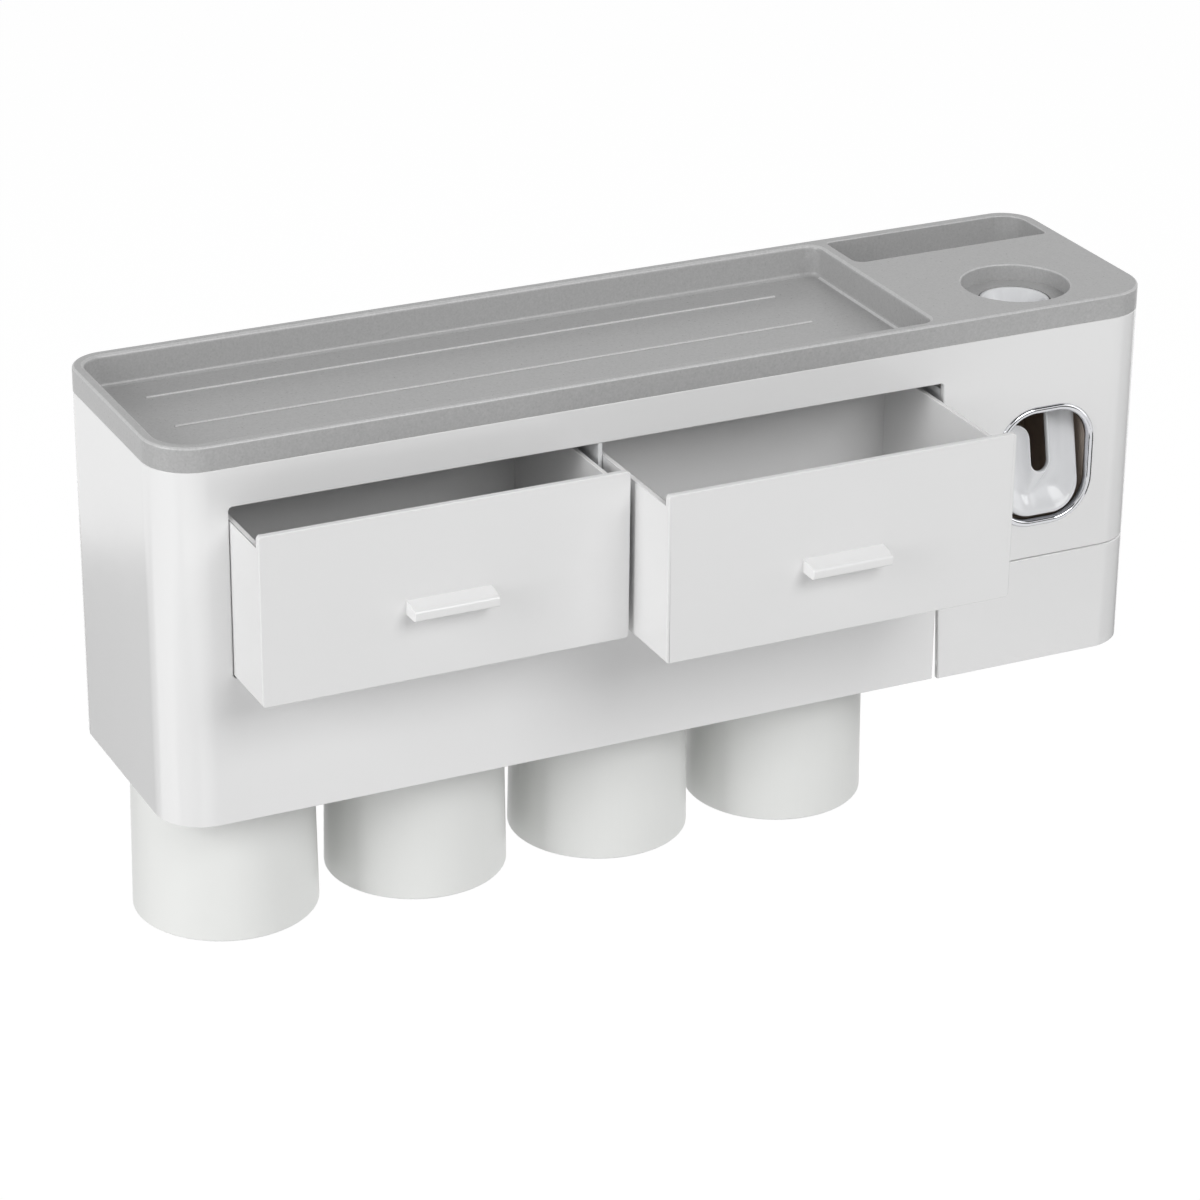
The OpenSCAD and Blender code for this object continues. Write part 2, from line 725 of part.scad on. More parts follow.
// One drawer, drawn closed and moved out by pull
module drawer(x_bay, pull) {
    x0 = x_bay + drawer_gap;
    y1 = front_y + drawer_d;
    color(white_satin) translate([0, -pull, 0]) difference() {
        union() {
            upright(front_y, front_y + plate_t)
                rounded(x0, x0 + plate_w, plate_z0, plate_z0 + plate_h, cut_r, cut_r);
            upright(front_y + plate_t / 2, y1) rounded(x0, x0 + box_w, plate_z0, drawer_top, cut_r, fit);
            // Nib at the back that meets the frame's stop block
            block([x0 + box_w - drawer_wall / 2, y1 - stop_nib_d, plate_z0],
                [x0 + box_w + stop_nib_t, y1, plate_z0 + stop_nib_h]);
        }
        block([x0 + drawer_wall, front_y + plate_t, plate_z0 + drawer_wall],
            [x0 + box_w - drawer_wall, y1 - drawer_wall, drawer_top + over]);
        for (side = [-1, 1]) bar_y(x0 + plate_w / 2 + side * handle_w / 4, handle_z(), front_y - over,
            front_y + plate_t + over, peg_d / 2 + pin_clear);
    }
}

function handle_z() = plate_z0 + plate_h / 2 - handle_drop;

// Bar handle: flat below, sloping down to a rounded nose, with two pegs through the front plate
module handle(x_bay, pull) {
    x = x_bay + drawer_gap + plate_w / 2;
    z0 = handle_z() - handle_t / 2;
    nose_r = handle_t * 0.3;
    chip = handle_t * 0.1;
    color(white_gloss) translate([0, -pull, 0]) {
        along_x(x - handle_w / 2, x + handle_w / 2) polygon(concat(
            [[front_y, z0], [front_y - handle_d + chip, z0], [front_y - handle_d, z0 + chip]],
            [for (a = [180:-13.5:99])
                [front_y - handle_d + nose_r, z0 + handle_t * 0.8 - nose_r] + nose_r * [cos(a), sin(a)]],
            [[front_y, z0 + handle_t]]
        ));
        for (side = [-1, 1]) bar_y(x + side * handle_w / 4, handle_z(), front_y - handle_t, front_y + plate_t,
            peg_d / 2);
    }
}

// One cup, mouth down, with a recess in its base for the seat
module cup(i) {
    slope = cup_taper / cup_h;
    recess = seat_t + fit;
    lip = cup_wall * 0.3;
    color(cup_white) translate([cup_x[i], -cup_out, cup_mouth_z]) rotate_extrude() polygon([
        [cup_r - lip, 0], [cup_r, lip], [cup_base_r + cup_floor * slope, cup_h - cup_floor * 0.6],
        [cup_base_r - cup_floor * 0.6, cup_h], [seat_r + seat_clear, cup_h], [seat_r + seat_clear, cup_h - recess],
        [0, cup_h - recess], [0, cup_h - recess - cup_floor], [cup_base_r - cup_wall, cup_h - recess - cup_floor],
        [cup_r - cup_wall, lip], [cup_r - cup_wall + lip, 0]
    ]);
}

// Magnet disc on the inside of a cup's base
module cup_magnet(i) {
    z1 = cup_base_z - seat_t - fit - cup_floor;
    color(steel) post(cup_x[i], -cup_out, z1 - magnet_t, z1, magnet_d / 2);
}

// The four magnets that lie in the collars on the cup panel
module holder_magnets() {
    color(steel) for (x = cup_x) post(x, -cup_out, holder_z1, holder_z1 + magnet_t, magnet_d / 2);
}

// Lower cover: closes the body under the squeezer, and slides down off its tongue
module lower_cover() {
    bottom = skirt_z - cover_drop;
    top = seam_z - seam_gap;
    color(white_gloss) difference() {
        union() {
            translate([0, 0, bottom]) linear_extrude(top - bottom) difference() {
                outline(0);
                outline(wall);
            }
            translate([0, 0, top - tongue_h]) linear_extrude(2 * tongue_h) difference() {
                outline(tongue_inset);
                outline(tongue_inset + tongue_t);
            }
            translate([0, 0, top - tongue_h]) linear_extrude(tongue_h) difference() {
                outline(wall - fit);
                outline(tongue_inset + fit);
            }
        }
        // Everything to the left of the slanted edge, and the back that the panel closes
        upright(front_y - over, over) polygon([
            [left_x - over, bottom - over], [cover_x0 + slit_bottom, bottom - over],
            [cover_x0 + slit_bottom, bottom], [cover_x0 + slit_top, top],
            [cover_x0 + slit_top, top + 3 * tongue_h], [left_x - over, top + 3 * tongue_h]
        ]);
        block([cover_x0 - over, -wall_gap - wall - tongue_t - 2 * fit, bottom - over],
            [right_x - back_r, over, top + 3 * tongue_h]);
        block([disp_x - ring_w, front_y + corner_r, top], [right_x + over, over, top + 3 * tongue_h]);
    }
}

// Bright ring round the squeezer's opening
module trim_ring() {
    c = ring_proud * 0.4;
    color(bright) {
        upright(front_y - ring_proud + c, front_y) difference() {
            ring_shape(0);
            ring_shape(ring_band + sleeve_t);
        }
        upright(front_y - ring_proud, front_y - ring_proud + c) difference() {
            ring_shape(c);
            ring_shape(ring_band + sleeve_t - c);
        }
        upright(front_y, front_y + sleeve_l) difference() {
            ring_shape(ring_band + pin_clear);
            ring_shape(ring_band + sleeve_t);
        }
    }
}

// Dark cage behind the opening: it carries the pump and the lever
module pump_frame() {
    x0 = disp_x - cage_out;
    x1 = disp_x + cage_out;
    y0 = front_in + fit;
    color(dark_abs) difference() {
        union() {
            block([x0, y0, cage_z0], [x1, cage_y1, cage_top1]);
            for (side = [-1, 1]) for (z = ear_screw_z) upright(ear_y0, ear_y0 + cage_wall)
                translate([disp_x + side * ear_screw_x, z]) square(ear_w, center = true);
        }
        difference() {
            block([x0 + cage_wall, y0 - over, cage_z0 + cage_wall], [x1 - cage_wall, cage_y1 - cage_wall, cage_top0]);
            for (side = [-1, 1]) translate([disp_x + side * (cage_in + lever_w / 2 + fit) / 2, pivot_y, pivot_z])
                rotate([0, 90, 0]) cylinder(r = cage_boss_r, h = cage_in - lever_w / 2 - fit, center = true);
        }
        for (side = [-1, 1]) bar_x(pivot_y, pivot_z, disp_x + side * cage_in - cage_wall * 4,
            disp_x + side * cage_in + cage_wall * 4, pin_r + pin_clear / 2);
        block([x0 - over, y0 - over, band_z - locate_h - fit], [x1 + over, front_y + rim_w + fit, cage_top1 + over]);
        post(disp_x, tube_y, cage_top0 - over, cage_top1 + over, spout_r + socket_wall + 4 * fit);
        for (y = pump_post_y) post(disp_x, y, cage_top0 - over, cage_top1 + over, pilot_d / 2 + pin_clear);
        for (side = [-1, 1]) for (z = ear_screw_z)
            bar_y(disp_x + side * ear_screw_x, z, ear_y0 - over, ear_y0 + cage_wall + over, pilot_d / 2 + pin_clear);
    }
}

// Pump body: socket for the funnel, chamber, and the duct to the nozzle
module pump_body() {
    color(white_satin) difference() {
        union() {
            translate([0, 0, pump_z0]) linear_extrude(pump_z1 - pump_z0)
                rounded(disp_x - pump_w / 2, disp_x + pump_w / 2, pump_y0, pump_y1, pump_r, pump_r);
            post(disp_x, tube_y, pump_z1 - over, socket_z1, spout_r + socket_wall);
            for (y = pump_post_y) post(disp_x, y, pump_z1 - over, cage_top0 - fit / 2, boss_r);
        }
        post(disp_x, tube_y, pump_z1, socket_z1 + over, spout_r + pin_clear);
        post(disp_x, tube_y, chamber_z1 - over, pump_z1 + over, inlet_r);
        post(disp_x, bellows_y, pump_z0 - over, chamber_z1, chamber_r);
        bar_y(disp_x, duct_z, nozzle_y, bellows_y, duct_d / 2);
        post(disp_x, nozzle_y, pump_z0 - over, duct_z, nozzle_bore / 2);
        for (y = pump_post_y) post(disp_x, y, cage_top0 - screw_l, cage_top0 + over, pilot_d / 2);
    }
}

// White funnel that the tube's neck is pushed into
module inlet_funnel() {
    spout_z0 = pump_z1 + fit;
    inner = spout_t * 0.75;
    color(white_gloss) translate([disp_x, tube_y, 0]) rotate_extrude() polygon([
        [neck_r, spout_z0], [spout_r, spout_z0], [spout_r, cone_z0],
        [spout_r + inner, cone_z0 + inner], [funnel_r - skin, flange_z0], [flange_r, flange_z0],
        [flange_r, flange_z1], [funnel_r, flange_z1], [funnel_r, ledge_z1], [funnel_r - inner, ledge_z1],
        [neck_r, cone_z0 + inner]
    ]);
}

// Silicone flap valve under the inlet
module inlet_valve() {
    color(silicone) difference() {
        post(disp_x, bellows_y, chamber_z1 - valve_t, chamber_z1, chamber_r - pin_clear);
        block([disp_x - inlet_r, tube_y - valve_slit / 2, chamber_z1 - valve_t - over],
            [disp_x + inlet_r, tube_y + valve_slit / 2, chamber_z1 + over]);
        post(disp_x, bellows_y + chamber_r / 2, chamber_z1 - valve_t - over, chamber_z1 + over, valve_t);
    }
}

// Silicone bellows under the chamber, closed at the bottom
module pump_bellows() {
    r = bellows_d / 2;
    z1 = pump_z0;
    z0 = z1 - bellows_h;
    n = 2 * bellows_folds;
    run_z = bellows_h - bellows_flange_t * 3;
    outer = [for (i = [0:n]) [r - (i % 2 == 0 ? bellows_fold : 0), z1 - bellows_flange_t - run_z * i / n]];
    inner = [for (i = [n:-1:0]) outer[i] - [bellows_wall, 0]];
    color(silicone) translate([disp_x, bellows_y, 0]) rotate_extrude() polygon(concat(
        [[r - bellows_fold - bellows_wall, z1], [bellows_flange_r, z1], [bellows_flange_r, z1 - bellows_flange_t]],
        outer,
        [[r - bellows_fold * 2, z0], [0, z0], [0, z0 + bellows_wall], [r - bellows_fold * 3, z0 + bellows_wall]],
        inner
    ));
}

// Ring that clamps the bellows to the pump body: it reaches up round the flange
module bellows_ring() {
    z1 = pump_z0 - bellows_flange_t;
    color(white_satin) difference() {
        post(disp_x, bellows_y, z1 - clamp_t, pump_z0, clamp_r);
        post(disp_x, bellows_y, z1 - clamp_t - over, z1 + over, bellows_d / 2 + fit / 2);
        post(disp_x, bellows_y, z1, pump_z0 + over, bellows_flange_r + pin_clear);
    }
}

// Soft nozzle that hangs in the lever's slot
module nozzle() {
    tip = nozzle_d * 0.2;
    color(silicone) translate([disp_x, nozzle_y, pump_z0]) rotate_extrude() polygon([
        [nozzle_bore / 2, 0], [nozzle_flange_r, 0], [nozzle_flange_r, -nozzle_flange_t],
        [nozzle_d / 2, -nozzle_flange_t - tip], [nozzle_d / 2, -nozzle_l + tip], [nozzle_d / 2 - tip, -nozzle_l],
        [nozzle_bore / 2, -nozzle_l]
    ]);
}

// The lever's slot seen from the front: round below, open at the top, with a flare on the left of its mouth
module slot_shape() {
    w = notch_w / 2;
    translate([slot_x, 0]) {
        translate([-w, -notch_bottom + w]) square([notch_w, notch_bottom - w]);
        translate([0, -notch_bottom + w]) circle(r = w);
        difference() {
            translate([-w - flare_r, flare_z]) square([w + flare_r, -flare_z]);
            translate([-w - flare_r, flare_z]) circle(r = flare_r);
        }
    }
}

// Push lever: dished plate with a slot, two arms round the pump, and the bar under the bellows
module push_lever() {
    half = lever_w / 2;
    color(white_gloss) translate([disp_x, pivot_y, pivot_z]) rotate([-lever_lean, 0, 0]) difference() {
        union() {
            // Plate, rounded at its lower corners
            difference() {
                upright(-lever_face, -lever_face + lever_t)
                    rounded(-half, half, -lever_bottom, -lever_top, lever_r, arm_t / 2);
                translate([0, -lever_face - dish_r + lever_t / 4, -lever_bottom - over])
                    cylinder(r = dish_r, h = lever_bottom + over);
            }
            for (side = [-1, 1]) {
                x0 = side < 0 ? -half : arm_in;
                along_x(x0, x0 + arm_t) union() {
                    circle(r = hub_r);
                    translate([web_y, web_z]) circle(r = web_r + web_collar);
                    polygon([[-lever_face, -lever_top - arm_w], [-lever_face, -hub_r / 2], [0, hub_r],
                        [hub_r * 0.9, hub_r * 0.5], [web_y + web_r, web_z + web_r], [web_y - web_r, web_z - web_r],
                        [hub_r, -hub_r * 1.2], [-lever_face + lever_t, -lever_top - arm_w]]);
                }
            }
            bar_x(web_y, web_z, -half + arm_t / 2, half - arm_t / 2, web_r);
        }
        // Slot for the nozzle
        upright(-lever_face - over, -lever_face + lever_t + over) slot_shape();
        bar_x(0, 0, -half - over, half + over, pin_r + pin_clear);
    }
}

// The two pins that the lever turns on
module lever_pins() {
    color(steel) for (side = [-1, 1]) {
        a = disp_x + side * pin_in;
        b = disp_x + side * cage_out;
        bar_x(pivot_y, pivot_z, min(a, b), max(a, b), pin_r);
    }
}

// Wall hanger: plate with two screw holes and an upturned hook
module hanger(x) {
    color(white_satin) difference() {
        union() {
            upright(hanger_y0, -pad_t) rounded(x - hanger_w / 2, x + hanger_w / 2, -hanger_h / 2, hanger_h / 2,
                cut_r * 2, cut_r * 2);
            block([x - hook_w / 2, hook_y0, stem_z0], [x + hook_w / 2, hanger_y0 + hanger_t / 2, stem_z1]);
            block([x - hook_w / 2, hook_y0, stem_z0], [x + hook_w / 2, hook_y1, stem_z1 + hook_h]);
        }
        for (z = [-screw_pitch / 2, screw_pitch / 2]) bar_y(x, z, hanger_y0 - over, over, screw_hole_d / 2);
    }
}

// Adhesive pads behind the hangers, with the same screw holes
module adhesive_pads() {
    color([0.85, 0.86, 0.88]) for (x = hanger_x) difference() {
        upright(-pad_t, 0) rounded(x - hanger_w / 2 + fit, x + hanger_w / 2 - fit, -hanger_h / 2 + fit,
            hanger_h / 2 - fit, cut_r * 2, cut_r * 2);
        for (z = [-screw_pitch / 2, screw_pitch / 2]) bar_y(x, z, -pad_t - over, over, screw_hole_d / 2);
    }
}

// Screws through the back panel
module back_screws() {
    color(steel) {
        for (p = panel_screws()) translate([p[0], panel_y1 - head_recess, p[1]]) rotate([-90, 0, 0]) screw();
    }
}

// Screws that hold the cup panel under the drawer frame
module cup_panel_screws() {
    color(steel) for (x = post_x) for (y = post_y) translate([x, y, holder_z0]) rotate([180, 0, 0]) screw();
}

// Screws of the pump housing
module pump_screws() {
    color(steel) {
        for (y = pump_post_y) translate([disp_x, y, cage_top1]) screw();
        for (side = [-1, 1]) for (z = ear_screw_z)
            translate([disp_x + side * ear_screw_x, ear_y0 + cage_wall, z]) rotate([-90, 0, 0]) screw();
    }
}

front_shell();
back_panel();
top_tray();
drawer_frame();
cup_panel();
drawer(bay_x[0], pull_left);  // drawer_left
drawer(bay_x[1], pull_right);  // drawer_right
handle(bay_x[0], pull_left);  // handle_left
handle(bay_x[1], pull_right);  // handle_right
cup(0);  // cup_1
cup(1);  // cup_2
cup(2);  // cup_3
cup(3);  // cup_4
cup_magnet(0);  // cup_magnet_1
cup_magnet(1);  // cup_magnet_2
cup_magnet(2);  // cup_magnet_3
cup_magnet(3);  // cup_magnet_4
holder_magnets();
lower_cover();
trim_ring();
pump_frame();
pump_body();
inlet_funnel();
inlet_valve();
pump_bellows();
bellows_ring();
nozzle();
push_lever();
lever_pins();
hanger(hanger_x[0]);  // hanger_left
hanger(hanger_x[1]);  // hanger_right
adhesive_pads();
back_screws();
cup_panel_screws();
pump_screws();
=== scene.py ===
# %% [markdown]
# # A wall organiser with a toothpaste squeezer
# The real object is a white box for a bathroom wall: a grey tray on top, two drawers in front, four cups hanging
# mouth down below, and at the right-hand end a squeezer behind a bright ring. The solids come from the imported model.
# Here they get their softened edges, their finishes, the light and the camera. All lengths are in metres.

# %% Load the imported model
import json
import math

import bpy
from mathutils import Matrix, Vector

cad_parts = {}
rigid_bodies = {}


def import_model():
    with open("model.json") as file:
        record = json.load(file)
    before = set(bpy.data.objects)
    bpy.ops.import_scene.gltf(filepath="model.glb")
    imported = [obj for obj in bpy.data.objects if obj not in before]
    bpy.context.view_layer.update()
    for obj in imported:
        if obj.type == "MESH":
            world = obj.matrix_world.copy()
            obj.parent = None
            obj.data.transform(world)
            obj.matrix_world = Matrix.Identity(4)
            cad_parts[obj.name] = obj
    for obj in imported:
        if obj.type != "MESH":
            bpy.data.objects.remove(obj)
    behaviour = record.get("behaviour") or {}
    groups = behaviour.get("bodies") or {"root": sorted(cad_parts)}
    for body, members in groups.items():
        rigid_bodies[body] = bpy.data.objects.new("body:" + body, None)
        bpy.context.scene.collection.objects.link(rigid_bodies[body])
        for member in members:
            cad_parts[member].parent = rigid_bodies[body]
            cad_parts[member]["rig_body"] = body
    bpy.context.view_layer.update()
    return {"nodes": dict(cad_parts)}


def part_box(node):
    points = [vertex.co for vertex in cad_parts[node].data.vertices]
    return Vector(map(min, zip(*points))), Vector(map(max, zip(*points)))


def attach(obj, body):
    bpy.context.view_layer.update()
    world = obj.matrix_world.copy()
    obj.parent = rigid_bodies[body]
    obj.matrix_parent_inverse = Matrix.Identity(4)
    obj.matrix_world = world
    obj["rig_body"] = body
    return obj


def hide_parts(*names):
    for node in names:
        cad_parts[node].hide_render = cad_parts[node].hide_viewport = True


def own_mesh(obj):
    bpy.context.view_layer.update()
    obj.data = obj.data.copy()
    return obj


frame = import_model()

# %% [markdown]
# The photograph looks down on the object from the front and a little from its left. A long lens keeps the edges
# nearly parallel, as in a studio. The place and turn of the camera were worked out from the corners of the body.

# %% Camera
lens_view = bpy.data.cameras.new("studio camera")
lens_view.lens = 121.268
lens_view.sensor_width = 36
camera = bpy.data.objects.new("studio camera", lens_view)
camera.location = (-0.61818, -1.30825, 0.57120)
camera.rotation_euler = [math.radians(a) for a in (65.50359, -0.52558, -25.64919)]
bpy.context.collection.objects.link(camera)
bpy.context.scene.camera = camera
bpy.context.scene.view_settings.view_transform = "Standard"
print("camera is", round(camera.location.length, 3), "m from the body's centre")

# %% [markdown]
# A material is easier to read as a sum than as a web of wires. This small class wraps one output of a node, so that
# `1 - mask * 0.5` adds its Math nodes by itself. Colours do not go through Math nodes, which would turn them grey:
# they are mixed by `blend_colours`. Every other node comes from the one method `add`. A `Paint` fills the node tree
# of a material, or of the world.

# %% Shader maths
class Field:
    def __init__(self, paint, socket):
        self.paint = paint
        self.socket = socket

    def maths(self, operation, a, b):
        return self.paint.add("ShaderNodeMath", {"operation": operation}, {0: a, 1: b})

    def __add__(self, other):
        return self.maths("ADD", self, other)

    def __radd__(self, other):
        return self.maths("ADD", other, self)

    def __sub__(self, other):
        return self.maths("SUBTRACT", self, other)

    def __rsub__(self, other):
        return self.maths("SUBTRACT", other, self)

    def __mul__(self, other):
        return self.maths("MULTIPLY", self, other)

    def __rmul__(self, other):
        return self.maths("MULTIPLY", other, self)


class Paint:
    def __init__(self, owner):
        self.owner = owner
        owner.use_nodes = True
        self.tree = owner.node_tree
        self.tree.nodes.clear()

    def plug(self, socket, value):
        if isinstance(value, Field):
            self.tree.links.new(value.socket, socket)
        else:
            socket.default_value = value

    def add(self, kind, settings=None, inputs=None, output=0):
        node = self.tree.nodes.new(kind)
        for key, value in (settings or {}).items():
            setattr(node, key, value)
        for key, value in (inputs or {}).items():
            self.plug(node.inputs[key], value)
        return Field(self, node.outputs[output])

    def noise(self, per_metre, detail=2.0):
        place = self.add("ShaderNodeTexCoord", output="Object")
        return self.add("ShaderNodeTexNoise", {}, {"Vector": place, "Scale": per_metre, "Detail": detail})

    def blend_colours(self, share, first, second):
        return self.add("ShaderNodeMix", {"data_type": "RGBA"}, {"Factor": share, "A": first, "B": second}, "Result")

    def bump(self, height, depth, strength=1.0):
        return self.add("ShaderNodeBump", {}, {"Height": height, "Distance": depth, "Strength": strength})

    def ray(self, question):
        """1 for the rays that the question holds for, such as Is Camera Ray, and 0 for the others."""
        return self.add("ShaderNodeLightPath", output=question)

    def end_with(self, surface, kind="ShaderNodeOutputMaterial"):
        self.plug(self.tree.nodes.new(kind).inputs["Surface"], surface)
        return self.owner

    def finish(self, inputs):
        return self.end_with(self.add("ShaderNodeBsdfPrincipled", {}, inputs))


def new_paint(name):
    return Paint(bpy.data.materials.new(name))


def colour(red, green, blue):
    """A colour as it is read off a screen, 0 to 255, turned to the values that Blender mixes with."""
    def straight(v):
        v = v / 255
        return v / 12.92 if v <= 0.04045 else ((v + 0.055) / 1.055) ** 2.4
    return (straight(red), straight(green), straight(blue), 1.0)


def times(tint, by):
    """The same hue, darker or lighter."""
    return tuple(min(1.0, v * by) for v in tint[:3]) + (1.0,)


PLASTIC_IOR = 1.5
print("ready to mix finishes")

# %% [markdown]
# The shell is glossy white plastic. A polished mould leaves it almost mirror smooth, but never quite even: the
# surface waves very slightly, as an orange's peel does, and a little of the gloss is lost in places to handling.

# %% White shell plastic
def glossy_white(name, tint, wave=0.00001):
    paint = new_paint(name)
    peel = paint.noise(90, 1.0)
    haze = paint.noise(24, 3.0)
    speck = paint.noise(1500, 1.0)
    return paint.finish({
        "Base Color": paint.blend_colours(haze * 0.5, tint, times(tint, 0.985)),
        "Roughness": 0.10 + haze * 0.07 + speck * 0.02,
        "IOR": PLASTIC_IOR,
        "Normal": paint.bump(peel, wave),
    })


shell_white = glossy_white("shell white gloss", colour(238, 238, 238))
lever_white = glossy_white("lever white gloss", colour(232, 233, 235), 0.000004)
print("made", shell_white.name, "and", lever_white.name)

# %% [markdown]
# The drawers and the parts inside are the same plastic with a satin face, so the light spreads wider on them.

# %% Satin whites
def satin_white(name, tint, gloss):
    paint = new_paint(name)
    fine = paint.noise(1400)
    cloud = paint.noise(18)
    return paint.finish({
        "Base Color": paint.blend_colours(cloud * 0.6, tint, times(tint, 0.98)),
        "Roughness": gloss + cloud * 0.08 + fine * 0.04,
        "IOR": PLASTIC_IOR,
        "Normal": paint.bump(fine, 0.00002, 0.5),
    })


drawer_white = satin_white("drawer white satin", colour(236, 236, 236), 0.16)
inner_white = satin_white("inner white satin", colour(232, 233, 234), 0.36)
cup_white = satin_white("cup white satin", colour(238, 239, 237), 0.34)
print("made", drawer_white.name, inner_white.name, cup_white.name)

# %% [markdown]
# The tray is grey and matt. Its mould was etched with a fine grain, which breaks up every highlight. The grain is a
# fine noise that feeds a bump, and the same noise also darkens the hollows slightly, as dust and shade do. The raised
# lines on its floor and the rims of its mouths get paler tints of the same finish: a painted highlight, where their
# rounded tops catch the light.

# %% Grey tray plastic
def grained_grey(name, tint):
    paint = new_paint(name)
    grain = paint.noise(1300)
    mottle = paint.noise(620)
    cloud = paint.noise(12)
    share = grain * 0.6 + mottle * 0.3 + cloud * 0.1
    return paint.finish({
        "Base Color": paint.blend_colours(share, times(tint, 0.76), times(tint, 1.24)),
        "Roughness": 0.24 + grain * 0.12,
        "IOR": PLASTIC_IOR,
        "Normal": paint.bump(grain, 0.00006, 0.5),
    })


tray_grey = grained_grey("tray grey grained", colour(176, 176, 176))
# A paler tint for the raised floor lines: a painted highlight, where their tops catch the light.
tray_line_highlight = grained_grey("tray line painted highlight", colour(205, 205, 205))
# A paler tint for the upward slopes of the rounded rims: a painted highlight.
tray_rim_highlight = grained_grey("tray rim painted highlight", colour(198, 198, 198))
print("made", tray_grey.name, tray_line_highlight.name, tray_rim_highlight.name)

# %% [markdown]
# The ring is plated, so it is a metal that mirrors the room. The cage behind it is a brown-grey plastic in deep
# shade. The valve, bellows and nozzle are milky silicone. The screws and discs are steel.

# %% Small finishes
def plated(name, tint, gloss):
    paint = new_paint(name)
    haze = paint.noise(60)
    return paint.finish({"Base Color": tint, "Metallic": 1.0, "Roughness": gloss + haze * 0.05})


def moulded(name, tint, gloss, grain=0.00003):
    paint = new_paint(name)
    fine = paint.noise(900)
    return paint.finish({
        "Base Color": paint.blend_colours(1 - fine, tint, times(tint, 0.93)),
        "Roughness": gloss + fine * 0.08,
        "Normal": paint.bump(fine, grain, 0.5),
    })


ring_plating = plated("ring plating", colour(212, 213, 216), 0.04)
steel = plated("steel", colour(190, 191, 194), 0.28)
cage_brown = moulded("cage brown", colour(205, 192, 180), 0.42)
silicone = moulded("milky silicone", colour(226, 226, 222), 0.42)
pad_foam = moulded("pad foam", colour(206, 207, 204), 0.85, 0.0002)
print("made", ring_plating.name, steel.name, cage_brown.name, silicone.name, pad_foam.name)

# %% [markdown]
# Everything is worked as by hand: one piece is selected and made active, and its edges or faces are picked before a
# tool is used on them. `dress` gives a finished piece its material and its body, and hides the imported node that it
# stands for.

# %% Picking up a piece
def deselect_all():
    for other in bpy.context.view_layer.objects:
        other.select_set(False)


def work_on(piece):
    deselect_all()
    piece.hide_set(False)
    piece.select_set(True)
    bpy.context.view_layer.objects.active = piece


def unpick(mesh):
    for group in (mesh.vertices, mesh.edges, mesh.polygons):
        for item in group:
            item.select = False


def pick_faces(piece, chosen):
    """Open a piece with the faces selected for which chosen(face) holds."""
    work_on(piece)
    bpy.context.tool_settings.mesh_select_mode = (False, False, True)
    unpick(piece.data)
    for face in piece.data.polygons:
        face.select = chosen(face)
    bpy.ops.object.mode_set(mode="EDIT")


def merge_flats():
    """Merge the loose triangles of the open piece, and join its flat areas into single faces."""
    bpy.ops.mesh.select_all(action="SELECT")
    bpy.ops.mesh.remove_doubles(threshold=0.000002)
    bpy.ops.mesh.dissolve_limited(angle_limit=math.radians(0.3))
    bpy.ops.object.mode_set(mode="OBJECT")


def face_outward(piece):
    pick_faces(piece, lambda face: True)
    bpy.ops.mesh.normals_make_consistent(inside=False)
    bpy.ops.object.mode_set(mode="OBJECT")


def dress(piece, material, node):
    piece.data.materials.clear()
    piece.data.materials.append(material)
    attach(piece, frame["nodes"][node]["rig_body"])
    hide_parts(node)


print("ready to work on pieces")

# %% [markdown]
# A moulded edge is never sharp. The imported solids have plain edges, so each piece that can be seen gets a softened
# copy, whose chosen edges are bevelled. Bevelling chosen edges is used in place of a Bevel modifier over the
# whole piece, because small screw holes would limit how wide the modifier can cut.

# %% Softened copies
def near(a, b, by=0.00002):
    return abs(a - b) < by


def copy_of(node, name, material):
    """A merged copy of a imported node, which stands for it and rides on the same body."""
    piece = bpy.data.objects.new(name, frame["nodes"][node].data.copy())
    bpy.context.collection.objects.link(piece)
    work_on(piece)
    bpy.ops.object.mode_set(mode="EDIT")
    merge_flats()
    dress(piece, material, node)
    return piece


def round_edges(piece, width, chosen, steps=3):
    """Bevel the sharp edges of a piece for which chosen(first end, second end) holds."""
    work_on(piece)
    bpy.ops.object.mode_set(mode="EDIT")
    bpy.ops.mesh.select_mode(type="EDGE")
    bpy.ops.mesh.select_all(action="DESELECT")
    bpy.ops.mesh.edges_select_sharp(sharpness=math.radians(35))
    bpy.ops.object.mode_set(mode="OBJECT")
    mesh = piece.data
    picked = [edge for edge in mesh.edges
              if edge.select and chosen(*(mesh.vertices[end].co for end in edge.vertices))]
    unpick(mesh)
    for edge in picked:
        edge.select = True
        for end in edge.vertices:
            mesh.vertices[end].select = True
    bpy.ops.object.mode_set(mode="EDIT")
    bpy.ops.mesh.bevel(offset=width, segments=steps, profile=0.5, affect="EDGES", clamp_overlap=False)
    bpy.ops.object.mode_set(mode="OBJECT")
    return len(picked)


def smooth(piece, angle=40):
    work_on(piece)
    bpy.ops.object.shade_smooth_by_angle(angle=math.radians(angle))
    level = piece.modifiers.new("even normals", "WEIGHTED_NORMAL")
    level.keep_sharp = True
    bpy.ops.object.modifier_apply(modifier=level.name)


print("ready to soften pieces")

# %% [markdown]
# Some pieces are better modelled anew: a block or a drum is added at its size and place, its edges are bevelled, and
# cutters made in the same way are taken off it with Boolean modifiers.

# %% Blocks, drums and cuts
def settle(piece):
    """Give the piece's place and size to its mesh, so that the object itself stands at the origin."""
    work_on(piece)
    bpy.ops.object.transform_apply(location=True, rotation=True, scale=True)


def name_new(name):
    """Name the piece that was just added, and settle it."""
    piece = bpy.context.object
    piece.name = name
    settle(piece)
    return piece


def block(name, low, high):
    deselect_all()
    middle = [(a + b) / 2 for a, b in zip(low, high)]
    bpy.ops.mesh.primitive_cube_add(size=1, location=middle, scale=[b - a for a, b in zip(low, high)])
    return name_new(name)


